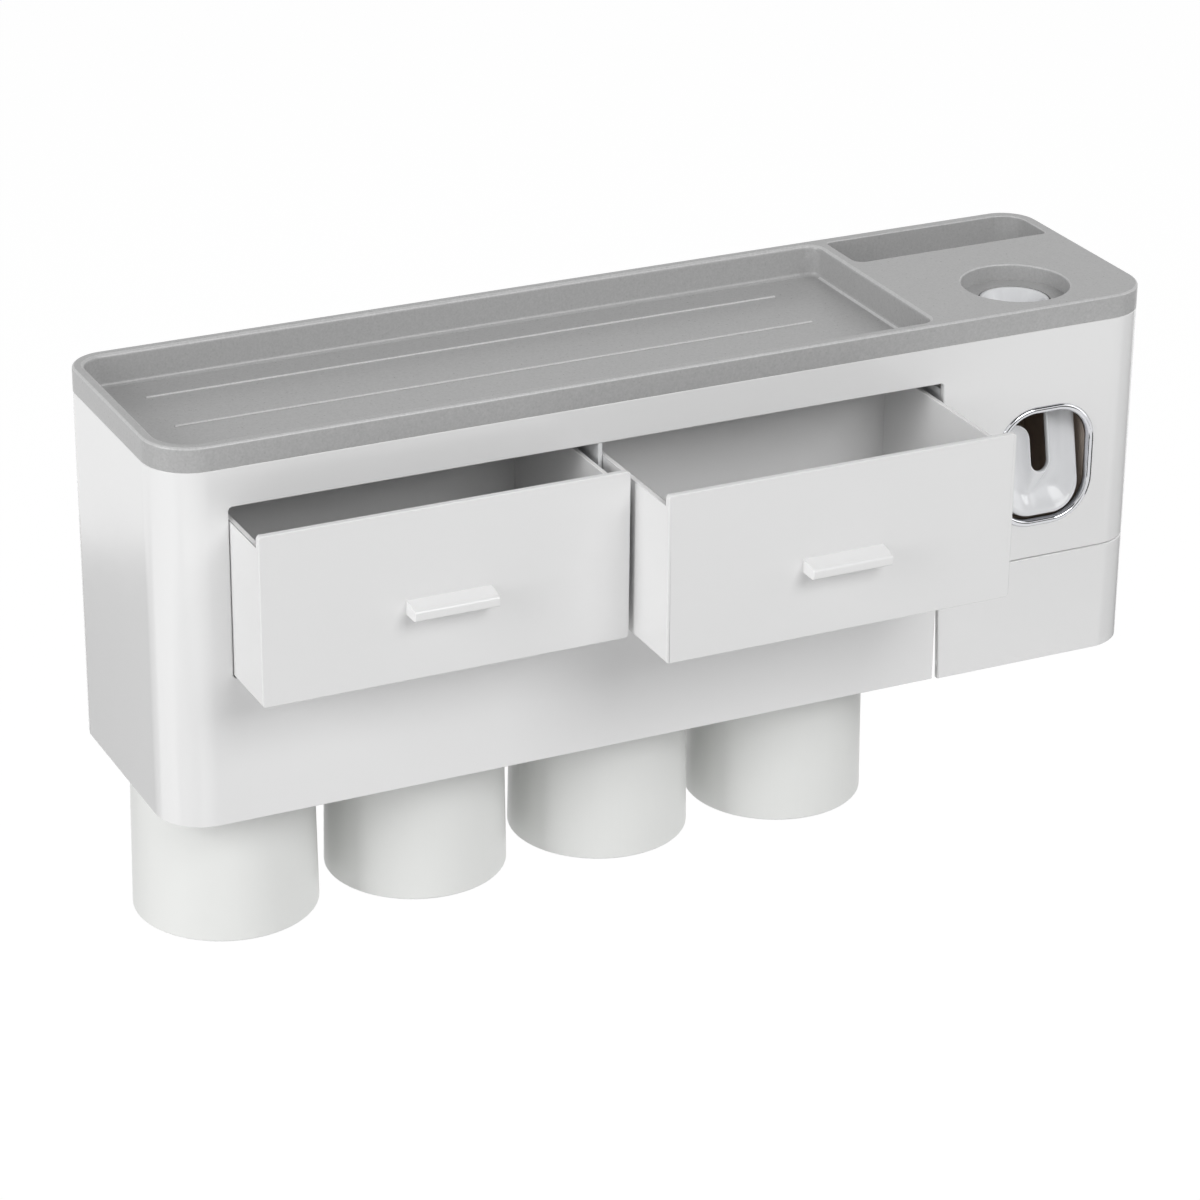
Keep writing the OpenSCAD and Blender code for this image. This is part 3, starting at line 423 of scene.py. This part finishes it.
def drum(name, middle, radius, depth, turn=(0, 0, 0), rims=96):
    deselect_all()
    bpy.ops.mesh.primitive_cylinder_add(vertices=rims, radius=radius, depth=depth, location=middle, rotation=turn)
    return name_new(name)


def cut(piece, tool, operation="DIFFERENCE"):
    work_on(piece)
    step = piece.modifiers.new("cut", "BOOLEAN")
    step.operation = operation
    step.solver = "EXACT"
    step.object = tool
    bpy.ops.object.modifier_apply(modifier=step.name)
    bpy.data.objects.remove(tool, do_unlink=True)


def upright(a, b):
    """Whether an edge of a block stands upright."""
    return near(a.x, b.x) and near(a.y, b.y)


def lengthwise(a, b):
    """Whether an edge of a block runs from front to back."""
    return near(a.x, b.x) and near(a.z, b.z)


def round_uprights(piece, corners):
    """Round the four upright edges of a block: front left, front right, back right, back left."""
    for (right, back), radius in zip(((0, 0), (1, 0), (1, 1), (0, 1)), corners):
        xs = [v.co.x for v in piece.data.vertices]
        ys = [v.co.y for v in piece.data.vertices]
        x, y = max(xs) if right else min(xs), max(ys) if back else min(ys)
        round_edges(piece, radius, lambda a, b: upright(a, b) and near(a.x, x) and near(a.y, y), 12)


def hollow(name, low, high, corners, fillet=0):
    """A cutter with rounded uprights and, for a fillet at the floor, a rounded underside."""
    piece = block(name, low, high)
    round_uprights(piece, corners)
    if fillet:
        round_edges(piece, fillet, lambda a, b: near(a.z, low[2]) and near(b.z, low[2]), 5)
    return piece


print("ready to model new pieces")

# %% [markdown]
# The shell is one wall bent round the front and both ends. Its upper and lower edges are rounded a little, which
# shows as a thin bright line under the tray. The squeezer's opening stays sharp, since the ring sits in it.

# %% White shell
tray_low, tray_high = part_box("top_tray")
FRONT = tray_low.y
BACK = tray_high.y
HALF = tray_high.x
FRONT_CORNER = 0.018
BACK_CORNER = 0.014
SHELL_EDGE = 0.0005
OPENING_LEFT, OPENING_LOW, OPENING_HIGH = 0.12, -0.05, 0.01


def off_outline(p):
    """How far a point lies outside the body's outline seen from above; inside is negative."""
    middle = (FRONT + BACK) / 2
    corner = FRONT_CORNER if p.y < middle else BACK_CORNER
    across = abs(p.x) - (HALF - corner)
    along = abs(p.y - middle) - ((BACK - FRONT) / 2 - corner)
    return math.hypot(max(across, 0), max(along, 0)) + min(max(across, along), 0) - corner


def on_outline(p):
    return near(off_outline(p), 0, 0.0001)


def both_on_outline(a, b):
    return on_outline(a) and on_outline(b)


def at_squeezer(p):
    """Whether a point of the shell's wall is near the squeezer's opening."""
    return p.x > OPENING_LEFT and OPENING_LOW < p.z < OPENING_HIGH


shell = copy_of("front_shell", "white_shell", shell_white)
count = round_edges(shell, SHELL_EDGE, lambda a, b: both_on_outline(a, b) and not at_squeezer(a))
smooth(shell)
print("white shell: rounded", count, "edges")

# %% [markdown]
# The tray is one grey moulding: a rim round a deep recess, a deck at the right with a slot for pens, and a round well
# for the tube. It starts as a block with bevelled corners and a skirt that sits inside the shell. The hollows are cut
# with rounded blocks, whose own bevelled undersides leave the soft fillets at the floor. The space under the floor
# and the deck is cut away too, as in any thin moulding.

# %% Grey tray
TOP = tray_high.z
BAND = 0.0368
SKIRT_LOW, SKIRT_IN = 0.0308, 0.0028
RIM = 0.0045
WALL, MARGIN = 0.002, 0.001
RECESS_FLOOR, RECESS_FILLET = 0.0335, 0.0018
RECESS_CORNERS = (0.0135, 0.005, 0.005, 0.0095)
DECK_LEFT = 0.1105
DECK_CORNERS = (0.004, 0.0135, 0.002, 0.002)
SQUEEZER_X = 0.1545
WELL = (SQUEEZER_X, -0.0745)
WELL_R, WELL_WALL_R, WELL_HOLE_R = 0.0206, 0.0226, 0.0139
WELL_LEDGE, WELL_HOLE_Z = 0.0395, 0.038
WELL_WALL_LOW, WELL_WALL_TOP = 0.0375, TOP - MARGIN
PEN_SLOT_FRONT, PEN_SLOT_FLOOR, PEN_SLOT_FILLET = -0.0303, 0.032, 0.0012
PEN_SLOT_CORNERS = (0.004, 0.0025, 0.0095, 0.0025)
LINE_YS = (-0.0209, -0.051)
LINE_LEFT, LINE_RIGHT, LINE_HALF, LINE_TOP = -0.1756, 0.080, 0.0005, 0.0340
LINE_SUNK, LINE_ROUND = 0.0005, 0.0003
DEEP = 0.02
UNDER, OVER = 0.02, TOP + 0.004

left_in, right_in, front_in, back_in = -HALF + RIM, HALF - RIM, FRONT + RIM, BACK - RIM
recess_right = DECK_LEFT - RIM
tray = block("grey_tray", (-HALF, FRONT, BAND), (HALF, BACK, TOP))
round_uprights(tray, (FRONT_CORNER, FRONT_CORNER, BACK_CORNER, BACK_CORNER))
skirt = block("skirt", (-HALF + SKIRT_IN, FRONT + SKIRT_IN, SKIRT_LOW),
              (HALF - SKIRT_IN, BACK - SKIRT_IN, BAND + MARGIN))
round_uprights(skirt, (FRONT_CORNER - SKIRT_IN,) * 2 + (BACK_CORNER - SKIRT_IN,) * 2)
cut(tray, skirt, "UNION")
cut(tray, hollow("recess", (left_in, front_in, RECESS_FLOOR), (recess_right, back_in, OVER),
                 RECESS_CORNERS, RECESS_FILLET))
cut(tray, hollow("under deck", (DECK_LEFT, front_in, UNDER), (right_in, PEN_SLOT_FRONT - WALL, TOP - WALL),
                 DECK_CORNERS))
cut(tray, block("under floor", (left_in + MARGIN, front_in + MARGIN, UNDER),
                (DECK_LEFT - WALL, back_in - MARGIN, RECESS_FLOOR - WALL)))
cut(tray, drum("well wall", WELL + ((WELL_WALL_LOW + WELL_WALL_TOP) / 2,), WELL_WALL_R,
               WELL_WALL_TOP - WELL_WALL_LOW), "UNION")
cut(tray, drum("well", WELL + (WELL_LEDGE + DEEP / 2,), WELL_R, DEEP))
cut(tray, drum("well hole", WELL + (WELL_HOLE_Z,), WELL_HOLE_R, DEEP))
cut(tray, hollow("pen slot", (DECK_LEFT, PEN_SLOT_FRONT, PEN_SLOT_FLOOR), (right_in, back_in, OVER),
                 PEN_SLOT_CORNERS, PEN_SLOT_FILLET))
for y in LINE_YS:
    line = block("floor line", (LINE_LEFT, y - LINE_HALF, RECESS_FLOOR - LINE_SUNK),
                 (LINE_RIGHT, y + LINE_HALF, LINE_TOP))
    round_edges(line, LINE_ROUND, lambda a, b: near(a.z, LINE_TOP) and near(b.z, LINE_TOP), 2)
    cut(tray, line, "UNION")
work_on(tray)
bpy.ops.object.mode_set(mode="EDIT")
merge_flats()
print("grey tray: cut to", len(tray.data.polygons), "faces")

# %% [markdown]
# Last, each mouth of the tray is rounded by its own width: the recess most, the outer rim less, the pen slot and the
# well least. The upward-facing faces of the rounded rims get a paler tint, a painted highlight, and so do the raised
# lines on the floor.

# %% Tray rims
RECESS_ROUND, RIM_ROUND, PEN_SLOT_ROUND, WELL_ROUND = 0.0017, 0.0012, 0.0007, 0.0009
AROUND = 0.0001
PEN_SLOT_BOX = (0.11, -0.031, 0.2, -0.004)
WELL_REACH = 0.021
# How far below the top, and how steeply tilted, the rim faces are that take the painted highlight.
RIM_HIGHLIGHT_DEPTH, RIM_HIGHLIGHT_SLOPES = 0.001, (0.35, 0.93)


def in_box(p, x0, y0, x1, y1):
    return x0 < p.x < x1 and y0 < p.y < y1


def in_recess(p):
    return in_box(p, left_in - AROUND, front_in - AROUND, recess_right + AROUND, back_in + AROUND)


def in_pen_slot(p):
    return in_box(p, *PEN_SLOT_BOX)


def in_well(p):
    return (p.xy - Vector(WELL)).length < WELL_REACH


def round_mouth(width, inside, steps):
    return round_edges(tray, width, lambda a, b: near(a.z, TOP) and near(b.z, TOP) and inside(a) and inside(b), steps)


counts = [
    round_mouth(RECESS_ROUND, in_recess, 6),
    round_mouth(RIM_ROUND, on_outline, 5),
    round_mouth(PEN_SLOT_ROUND, in_pen_slot, 4),
    round_mouth(WELL_ROUND, in_well, 4),
]
dress(tray, tray_grey, "top_tray")
tray.data.materials.append(tray_line_highlight)
tray.data.materials.append(tray_rim_highlight)
# The raised lines and the upward slopes of the rims take the paler tints, which are painted highlights.
for face in tray.data.polygons:
    at = face.center
    on_line = (RECESS_FLOOR + AROUND / 2 < at.z < LINE_TOP + AROUND
               and any(abs(at.y - y) < LINE_HALF + AROUND for y in LINE_YS))
    on_rim = at.z > TOP - RIM_HIGHLIGHT_DEPTH and RIM_HIGHLIGHT_SLOPES[0] < face.normal.z < RIM_HIGHLIGHT_SLOPES[1]
    face.material_index = 2 if on_rim else int(on_line)
smooth(tray)
print("grey tray: rounded", counts, "edges,", len(tray.data.polygons), "faces")

# %% [markdown]
# The drawers are thin boxes behind flat front plates. The plates have crisp edges with a small radius all round, the
# tops of the walls a smaller one, and the bar handles are rounded wherever they stand out of the plate. The edges
# round the handles' peg holes are left alone, because a bevel there would break the plate's face.

# %% Drawers and handles
PLATE_EDGE, WALL_EDGE, HANDLE_EDGE = 0.0005, 0.0003, 0.0004
PLATE_RIM = 0.003
SIDE_WALL_TOP = 0.0171
BEHIND_PLATE, BEFORE_PLATE = 0.001, 0.0002


def on_plate_rim(p, low, high):
    """Whether a point is on the front plate's face and near its outline."""
    inside = (low.x + PLATE_RIM < p.x < high.x - PLATE_RIM) and (low.z + PLATE_RIM < p.z < high.z - PLATE_RIM)
    return near(p.y, low.y) and not inside


for side in ("left", "right"):
    low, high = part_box("drawer_" + side)
    drawer = copy_of("drawer_" + side, "drawer_box_" + side, drawer_white)
    count = round_edges(drawer, PLATE_EDGE,
                        lambda a, b: on_plate_rim(a, low, high) and on_plate_rim(b, low, high))
    count += round_edges(drawer, WALL_EDGE,
                         lambda a, b: near(a.z, b.z) and min(a.y, b.y) > low.y + BEHIND_PLATE
                         and (near(a.z, high.z) or near(a.z, SIDE_WALL_TOP)))
    smooth(drawer)
    handle = copy_of("handle_" + side, "bar_handle_" + side, shell_white)
    handle_count = round_edges(handle, HANDLE_EDGE, lambda a, b: max(a.y, b.y) < low.y - BEFORE_PLATE)
    smooth(handle)
    print(side, "drawer: rounded", count, "edges, handle", handle_count)

# %% [markdown]
# The cups are turned shapes that widen towards the mouth, with a rounded lip and a rounded base.

# %% Cups
CUP_LIP = 0.00025
for i in range(1, 5):
    cup = copy_of(f"cup_{i}", f"hanging_cup_{i}", cup_white)
    count = round_edges(cup, CUP_LIP, lambda a, b: near(a.z, b.z), 2)
    smooth(cup)
    print("cup", i, "rounded", count, "edges")

# %% [markdown]
# The cover under the squeezer is a piece of its own, so that the pump can be reached. It carries the shell's corner
# on downwards, and its rounded edges make the fine line between the two.

# %% Cover under the squeezer
cover = copy_of("lower_cover", "lower_end_cover", shell_white)
count = round_edges(cover, SHELL_EDGE, both_on_outline)
smooth(cover)
print("cover: rounded", count, "edges")

# %% [markdown]
# The ring is a bright plated frame with a rolled section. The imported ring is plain, and a bevel can only give one
# curve, so the ring is drawn anew: a block with round corners, whose front is set in step by step, each step a little
# forward or back, until the section is rolled. Then the middle is taken out and the inner edges are bridged.

# %% Bright ring
RING_Z = -0.0187
RING_HALF_X, RING_HALF_Z, RING_CORNER = 0.0216, 0.0245, 0.017
RING_PROUD, RING_SUNK = 0.0001, 0.0028
RING_STEPS = ((0.0006, 0.0006), (0.0006, 0.0002), (0.0004, 0),
              (0.0005, -0.0002), (0.0005, -0.0005), (0.0002, -0.0022))
RING_BACK = 0.0022

ring = block("plated_ring", (SQUEEZER_X - RING_HALF_X, FRONT - RING_PROUD, RING_Z - RING_HALF_Z),
             (SQUEEZER_X + RING_HALF_X, FRONT + RING_SUNK, RING_Z + RING_HALF_Z))
round_edges(ring, RING_CORNER, lengthwise, 24)
pick_faces(ring, lambda face: face.normal.y < -0.99)
for width, rise in RING_STEPS:
    bpy.ops.mesh.inset(thickness=width, depth=rise, use_even_offset=True)
bpy.ops.mesh.delete(type="FACE")
bpy.ops.object.mode_set(mode="OBJECT")
pick_faces(ring, lambda face: face.normal.y > 0.99)
bpy.ops.mesh.inset(thickness=RING_BACK, depth=0, use_even_offset=True)
bpy.ops.mesh.delete(type="FACE")
bpy.ops.mesh.select_mode(type="EDGE")
bpy.ops.mesh.select_non_manifold()
bpy.ops.mesh.bridge_edge_loops()
bpy.ops.object.mode_set(mode="OBJECT")
face_outward(ring)
dress(ring, ring_plating, "trim_ring")
smooth(ring, 75)
print("ring:", len(ring.data.polygons), "faces")

# %% [markdown]
# The lever is a white plate with a dish that the brush pushes into, and a slot that the paste comes through. Its
# upper part, with the pins and the bar for the bellows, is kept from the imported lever. The dish is soft all over, so
# it is drawn anew, upright in the lever's own frame: first the outline, a block with two round lower corners and the
# slot cut out, which flares to the left at its top.

# %% Lever plate, its outline
PIVOT = (SQUEEZER_X, -0.084, 0.0104)
LEAN = math.radians(-12)
PLATE_FRONT, PLATE_BACK = -0.008, -0.0046
LEVER_HALF, LEVER_LOW, LEVER_TOP = 0.0168, -0.052, -0.011
LEVER_CORNER, LEVER_TOP_CORNER = 0.012, 0.0014
SLOT_X, SLOT_R, SLOT_LOW = 0.0006, 0.0037, -0.0352
FLARE_R, FLARE_Z = 0.0063, -0.0222
CUT_FRONT, CUT_BACK, CUT_TOP, THROUGH = -0.012, 0.004, -0.005, 0.02
QUARTER_TURN = (math.radians(90), 0, 0)

plate = block("plate", (-LEVER_HALF, PLATE_FRONT, LEVER_LOW), (LEVER_HALF, PLATE_BACK, LEVER_TOP))
round_edges(plate, LEVER_CORNER, lambda a, b: lengthwise(a, b) and near(a.z, LEVER_LOW), 20)
round_edges(plate, LEVER_TOP_CORNER, lambda a, b: lengthwise(a, b) and near(a.z, LEVER_TOP), 4)
slot_left, slot_end, middle_y = SLOT_X - SLOT_R, SLOT_LOW + SLOT_R, (CUT_FRONT + CUT_BACK) / 2
slot = block("slot", (slot_left, CUT_FRONT, slot_end), (SLOT_X + SLOT_R, CUT_BACK, CUT_TOP))
cut(slot, drum("slot end", (SLOT_X, middle_y, slot_end), SLOT_R, CUT_BACK - CUT_FRONT, QUARTER_TURN, 64), "UNION")
flare = block("flare", (slot_left - FLARE_R, CUT_FRONT, FLARE_Z), (SLOT_X, CUT_BACK, CUT_TOP))
cut(flare, drum("flare side", (slot_left - FLARE_R, middle_y, FLARE_Z), FLARE_R, THROUGH, QUARTER_TURN))
cut(slot, flare, "UNION")
cut(plate, slot)
pick_faces(plate, lambda face: face.normal.y > -0.99)
bpy.ops.mesh.delete(type="FACE")
merge_flats()
outline = [[plate.data.vertices[end].co.xz for end in edge.vertices] for edge in plate.data.edges]
print("lever plate: an outline of", len(outline), "edges")

# %% [markdown]
# Only the front face is left. It is set in by narrow rings along its edge, for the roll, and cut into a fine grid by
# planes, for the dish, so that its points can be moved back to their depths.

# %% Lever plate, its points
ROLL = 0.0010
ROLL_STEPS = (0.00010, 0.00016, 0.00024, 0.00030, 0.00030)
GRID, GRID_SHIFT = 0.0009, 0.0001
COLUMNS, ROWS = range(-18, 19), range(-12, -58, -1)

pick_faces(plate, lambda face: True)
for width in ROLL_STEPS:
    bpy.ops.mesh.inset(thickness=width, depth=0, use_even_offset=True)
for planes, across in ((COLUMNS, (1, 0, 0)), (ROWS, (0, 0, 1))):
    for k in planes:
        bpy.ops.mesh.select_all(action="SELECT")
        bpy.ops.mesh.bisect(plane_co=[axis * (k * GRID + GRID_SHIFT) for axis in across], plane_no=across)
bpy.ops.object.mode_set(mode="OBJECT")
print("lever plate:", len(plate.data.vertices), "points")

# %% [markdown]
# Each point goes back by the dish's depth there. The dish follows the plate's sides and its round lower end, and it
# fades out towards the slot, whose lip stands forward. Below the slot the lip runs on as a low tongue that bends to
# the left and thins out. Along the edges the points follow a quarter of a circle.

# %% Lever plate, its dish
DISH_DEPTH, DISH_EDGE, DISH_SLOPE = 0.0042, 0.0018, 0.0120
LIP_EDGE, LIP_SLOPE = 0.0006, 0.0075
TONGUE_LENGTH, TONGUE_BEND, TONGUE_SINK = 0.012, 0.005, 0.0045
TONGUE_THIN = 0.8


def clamp(v):
    return max(0.0, min(1.0, v))


def ease(share):
    return 1 - (1 - share) ** 2


def off_edge(point):
    """The shortest way, in the plate's own plane, from a point to the plate's edge."""
    best = 1.0
    for a, b in outline:
        along = b - a
        share = clamp((point - a).dot(along) / along.length_squared)
        best = min(best, (point - a - along * share).length)
    return best


def off_slot(point):
    """The way to the slot's edge, or to the tongue below it, which counts as further off the further it sinks."""
    if point.y > slot_end:
        left = slot_left
        if point.y > FLARE_Z:
            left -= FLARE_R - math.sqrt(max(0.0, FLARE_R ** 2 - (point.y - FLARE_Z) ** 2))
        return max(left - point.x, point.x - SLOT_X - SLOT_R, 0.0)
    share = min(1.0, (slot_end - point.y) / TONGUE_LENGTH)
    middle = SLOT_X - TONGUE_BEND * share ** 1.5
    return max(0.0, abs(point.x - middle) - SLOT_R * (1 - share * TONGUE_THIN)) + TONGUE_SINK * share ** 2


def dish(point):
    across = abs(point.x) - (LEVER_HALF - LEVER_CORNER)
    down = (LEVER_LOW + LEVER_CORNER) - point.y
    inside = LEVER_CORNER - (math.hypot(max(across, 0), max(down, 0)) + min(max(across, down), 0))
    share = clamp((inside - DISH_EDGE) / DISH_SLOPE)
    lip = clamp((off_slot(point) - LIP_EDGE) / LIP_SLOPE)
    return DISH_DEPTH * ease(share) * ease(lip)


for corner in plate.data.vertices:
    flat = corner.co.xz
    gap = min(ROLL, off_edge(flat))
    corner.co.y = PLATE_FRONT + dish(flat) + ROLL - math.sqrt(ROLL ** 2 - (ROLL - gap) ** 2)
face_outward(plate)
if sum(face.normal.y for face in plate.data.polygons) > 0:
    plate.data.flip_normals()
print("lever plate: dished to", round(max(v.co.y for v in plate.data.vertices) - PLATE_FRONT, 5), "m")

# %% [markdown]
# The dished face is pulled back into a closed plate: flat behind, bulging where the dish is deepest, and only a
# lip's thickness round the slot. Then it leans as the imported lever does, takes the place of that lever's plain plate,
# and is joined to what is left of it. A Boolean union of the two lost the plate, so the closed shells are joined.

# %% Lever
LIP_THICK, LIP_WIDE = 0.0018, 0.001
OLD_PLATE_HALF, OLD_PLATE_LOW = 0.02, -0.06


def lean(piece):
    """Take a piece from the lever's own upright place to its leaning place under the pins."""
    piece.location = PIVOT
    piece.rotation_euler = (LEAN, 0, 0)
    settle(piece)
    return piece


pick_faces(plate, lambda face: True)
bpy.ops.mesh.extrude_region_move(TRANSFORM_OT_translate={"value": (0, 0.0001, 0)})
bpy.ops.object.mode_set(mode="OBJECT")
for corner in plate.data.vertices:
    if corner.select:
        flat = corner.co.xz
        behind = PLATE_BACK if off_slot(flat) > LIP_WIDE else PLATE_FRONT
        corner.co.y = max(behind, PLATE_FRONT + dish(flat) + LIP_THICK)
face_outward(plate)
lean(plate)
lever = copy_of("push_lever", "dished_lever", lever_white)
smooth(lever)
cut(lever, lean(block("old plate", (-OLD_PLATE_HALF, CUT_FRONT, OLD_PLATE_LOW),
                      (OLD_PLATE_HALF, PLATE_BACK + 0.0001, LEVER_TOP))))
smooth(plate, 60)
work_on(lever)
plate.select_set(True)
bpy.ops.object.join()
lever.data.materials.clear()
lever.data.materials.append(lever_white)
print("lever:", len(lever.data.polygons), "faces")

# %% [markdown]
# The funnel is a small turned piece in the well's floor. The bellows is soft: the lever's bar presses it against its
# clamp ring. Its copy gets a mesh of its own.

# %% Funnel and bellows
FUNNEL_EDGE, FUNNEL_RIM_LOW = 0.0005, 0.033
funnel = copy_of("inlet_funnel", "white_funnel", lever_white)
count = round_edges(funnel, FUNNEL_EDGE, lambda a, b: near(a.z, b.z) and a.z > FUNNEL_RIM_LOW)
smooth(funnel)
bellows = copy_of("pump_bellows", "silicone_bellows", silicone)
smooth(bellows, 30)
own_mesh(bellows)
print("funnel: rounded", count, "edges; the bellows follows the lever")

# %% [markdown]
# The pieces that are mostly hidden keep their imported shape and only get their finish.

# %% Finishes for the rest
FINISHES = {
    inner_white: ["back_panel", "drawer_frame", "cup_panel", "pump_body", "bellows_ring", "hanger_left",
                  "hanger_right"],
    cage_brown: ["pump_frame"],
    silicone: ["inlet_valve", "nozzle"],
    steel: ["cup_magnet_1", "cup_magnet_2", "cup_magnet_3", "cup_magnet_4", "holder_magnets", "lever_pins",
            "back_screws", "cup_panel_screws", "pump_screws"],
    pad_foam: ["adhesive_pads"],
}
for finish_material, names in FINISHES.items():
    for name in names:
        slots = frame["nodes"][name].data.materials
        slots.clear()
        slots.append(finish_material)
print("finished", sum(len(names) for names in FINISHES.values()), "hidden nodes")

# %% [markdown]
# The studio: a pale floor far below, so that only a faint shadow falls on it, and a white surrounding that the glossy
# parts mirror. The camera and the mirroring surfaces see the floor almost pure white, with a share of its own
# shading, which keeps the object's shadow. The surroundings are white to them too, but light the object less.

# %% Floor and surroundings
WHITE = (1, 1, 1, 1)
FLOOR_GLOW, FLOOR_GLOW_SHARE = 1.08, 0.88
ROOM_LIGHT = 0.336

deselect_all()
bpy.ops.mesh.primitive_plane_add(size=24, location=(0, 4, -0.75))
floor = name_new("pale_floor")
paint = new_paint("pale floor")
ground = paint.add("ShaderNodeBsdfDiffuse", {}, {"Color": (0.86, 0.86, 0.86, 1)})
glow = paint.add("ShaderNodeEmission", {}, {"Color": WHITE, "Strength": FLOOR_GLOW})
seen = paint.ray("Is Camera Ray") + paint.ray("Is Glossy Ray") + paint.ray("Is Transmission Ray")
whitened = paint.add("ShaderNodeMixShader", {}, {0: seen * FLOOR_GLOW_SHARE, 1: ground, 2: glow})
floor.data.materials.append(paint.end_with(whitened))

world = bpy.data.worlds.new("soft surroundings")
bpy.context.scene.world = world
room = Paint(world)
seen = room.ray("Is Camera Ray") + room.ray("Is Glossy Ray")
strength = ROOM_LIGHT + seen * (1 - ROOM_LIGHT)
light_all = room.add("ShaderNodeBackground", {}, {"Color": WHITE, "Strength": strength})
room.end_with(light_all, "ShaderNodeOutputWorld")
print("floor and surroundings are in place")

# %% [markdown]
# Three large soft lamps light the object. Their powers were chosen so that their sum comes close to the
# photograph's greys on the body's faces.

# %% Lamps
def facing(place, aim):
    return (Vector(aim) - Vector(place)).to_track_quat("-Z", "Y").to_euler()


LAMPS = {
    "front lamp": ((0.5, -2.0, 1.5), 1.4, 1.2, 25.3),
    "left lamp": ((-2.0, -0.5, 0.6), 0.9, 1.4, 21.9),
    "right lamp": ((2.0, -0.9, 0.6), 0.9, 1.4, 4.5),
}
for name, (place, width, height, watts) in LAMPS.items():
    light = bpy.data.lights.new(name, "AREA")
    light.shape = "RECTANGLE"
    light.size = width
    light.size_y = height
    light.energy = watts
    lamp = bpy.data.objects.new(name, light)
    lamp.location = place
    lamp.rotation_euler = facing(place, (0, 0, 0))
    bpy.context.collection.objects.link(lamp)
print("placed", len(LAMPS), "lamps")

# %% [markdown]
# Plating in a white room looks like white plastic. In a studio, black cards stand where the plated edges mirror
# them, so these cards are seen only by shiny surfaces: they put the dark lines into the ring, and a little depth
# into the white gloss.

# %% Dark cards
CARDS = {
    "dark card above": ((0.4, -1.1, 2.3), (0.4, -1.1, 0), 4.0, 2.4),
    "dark card ahead": ((1.3, -2.6, 0.3), (0.15, 0, 0.3), 4.0, 0.9),
    "dark card right": ((1.75, -0.1, -0.7), (1.75, -0.1, 0), 1.2, 1.7),
    "dark card left": ((-1.05, -0.85, -0.7), (-1.05, -0.85, 0), 0.9, 0.9),
    "dark card under the drawers": ((0.62, -1.30, -0.7), (0.62, -1.30, 0), 0.26, 0.22),
    "dark card behind": ((-0.75, 0.9, -0.62), (-0.2, -0.06, -0.62), 1.0, 0.24),
}
paint = new_paint("card black")
card_black = paint.end_with(paint.add("ShaderNodeBsdfDiffuse", {}, {"Color": (0.004, 0.004, 0.004, 1)}))
for name, (place, aim, width, height) in CARDS.items():
    deselect_all()
    bpy.ops.mesh.primitive_plane_add(size=1, location=place, rotation=facing(place, aim))
    bpy.context.object.scale = (width, height, 1)
    card = name_new(name)
    card.data.materials.append(card_black)
    card.visible_camera = False
    card.visible_diffuse = False
    card.visible_shadow = False
    card.visible_transmission = False
print("placed", len(CARDS), "dark cards")
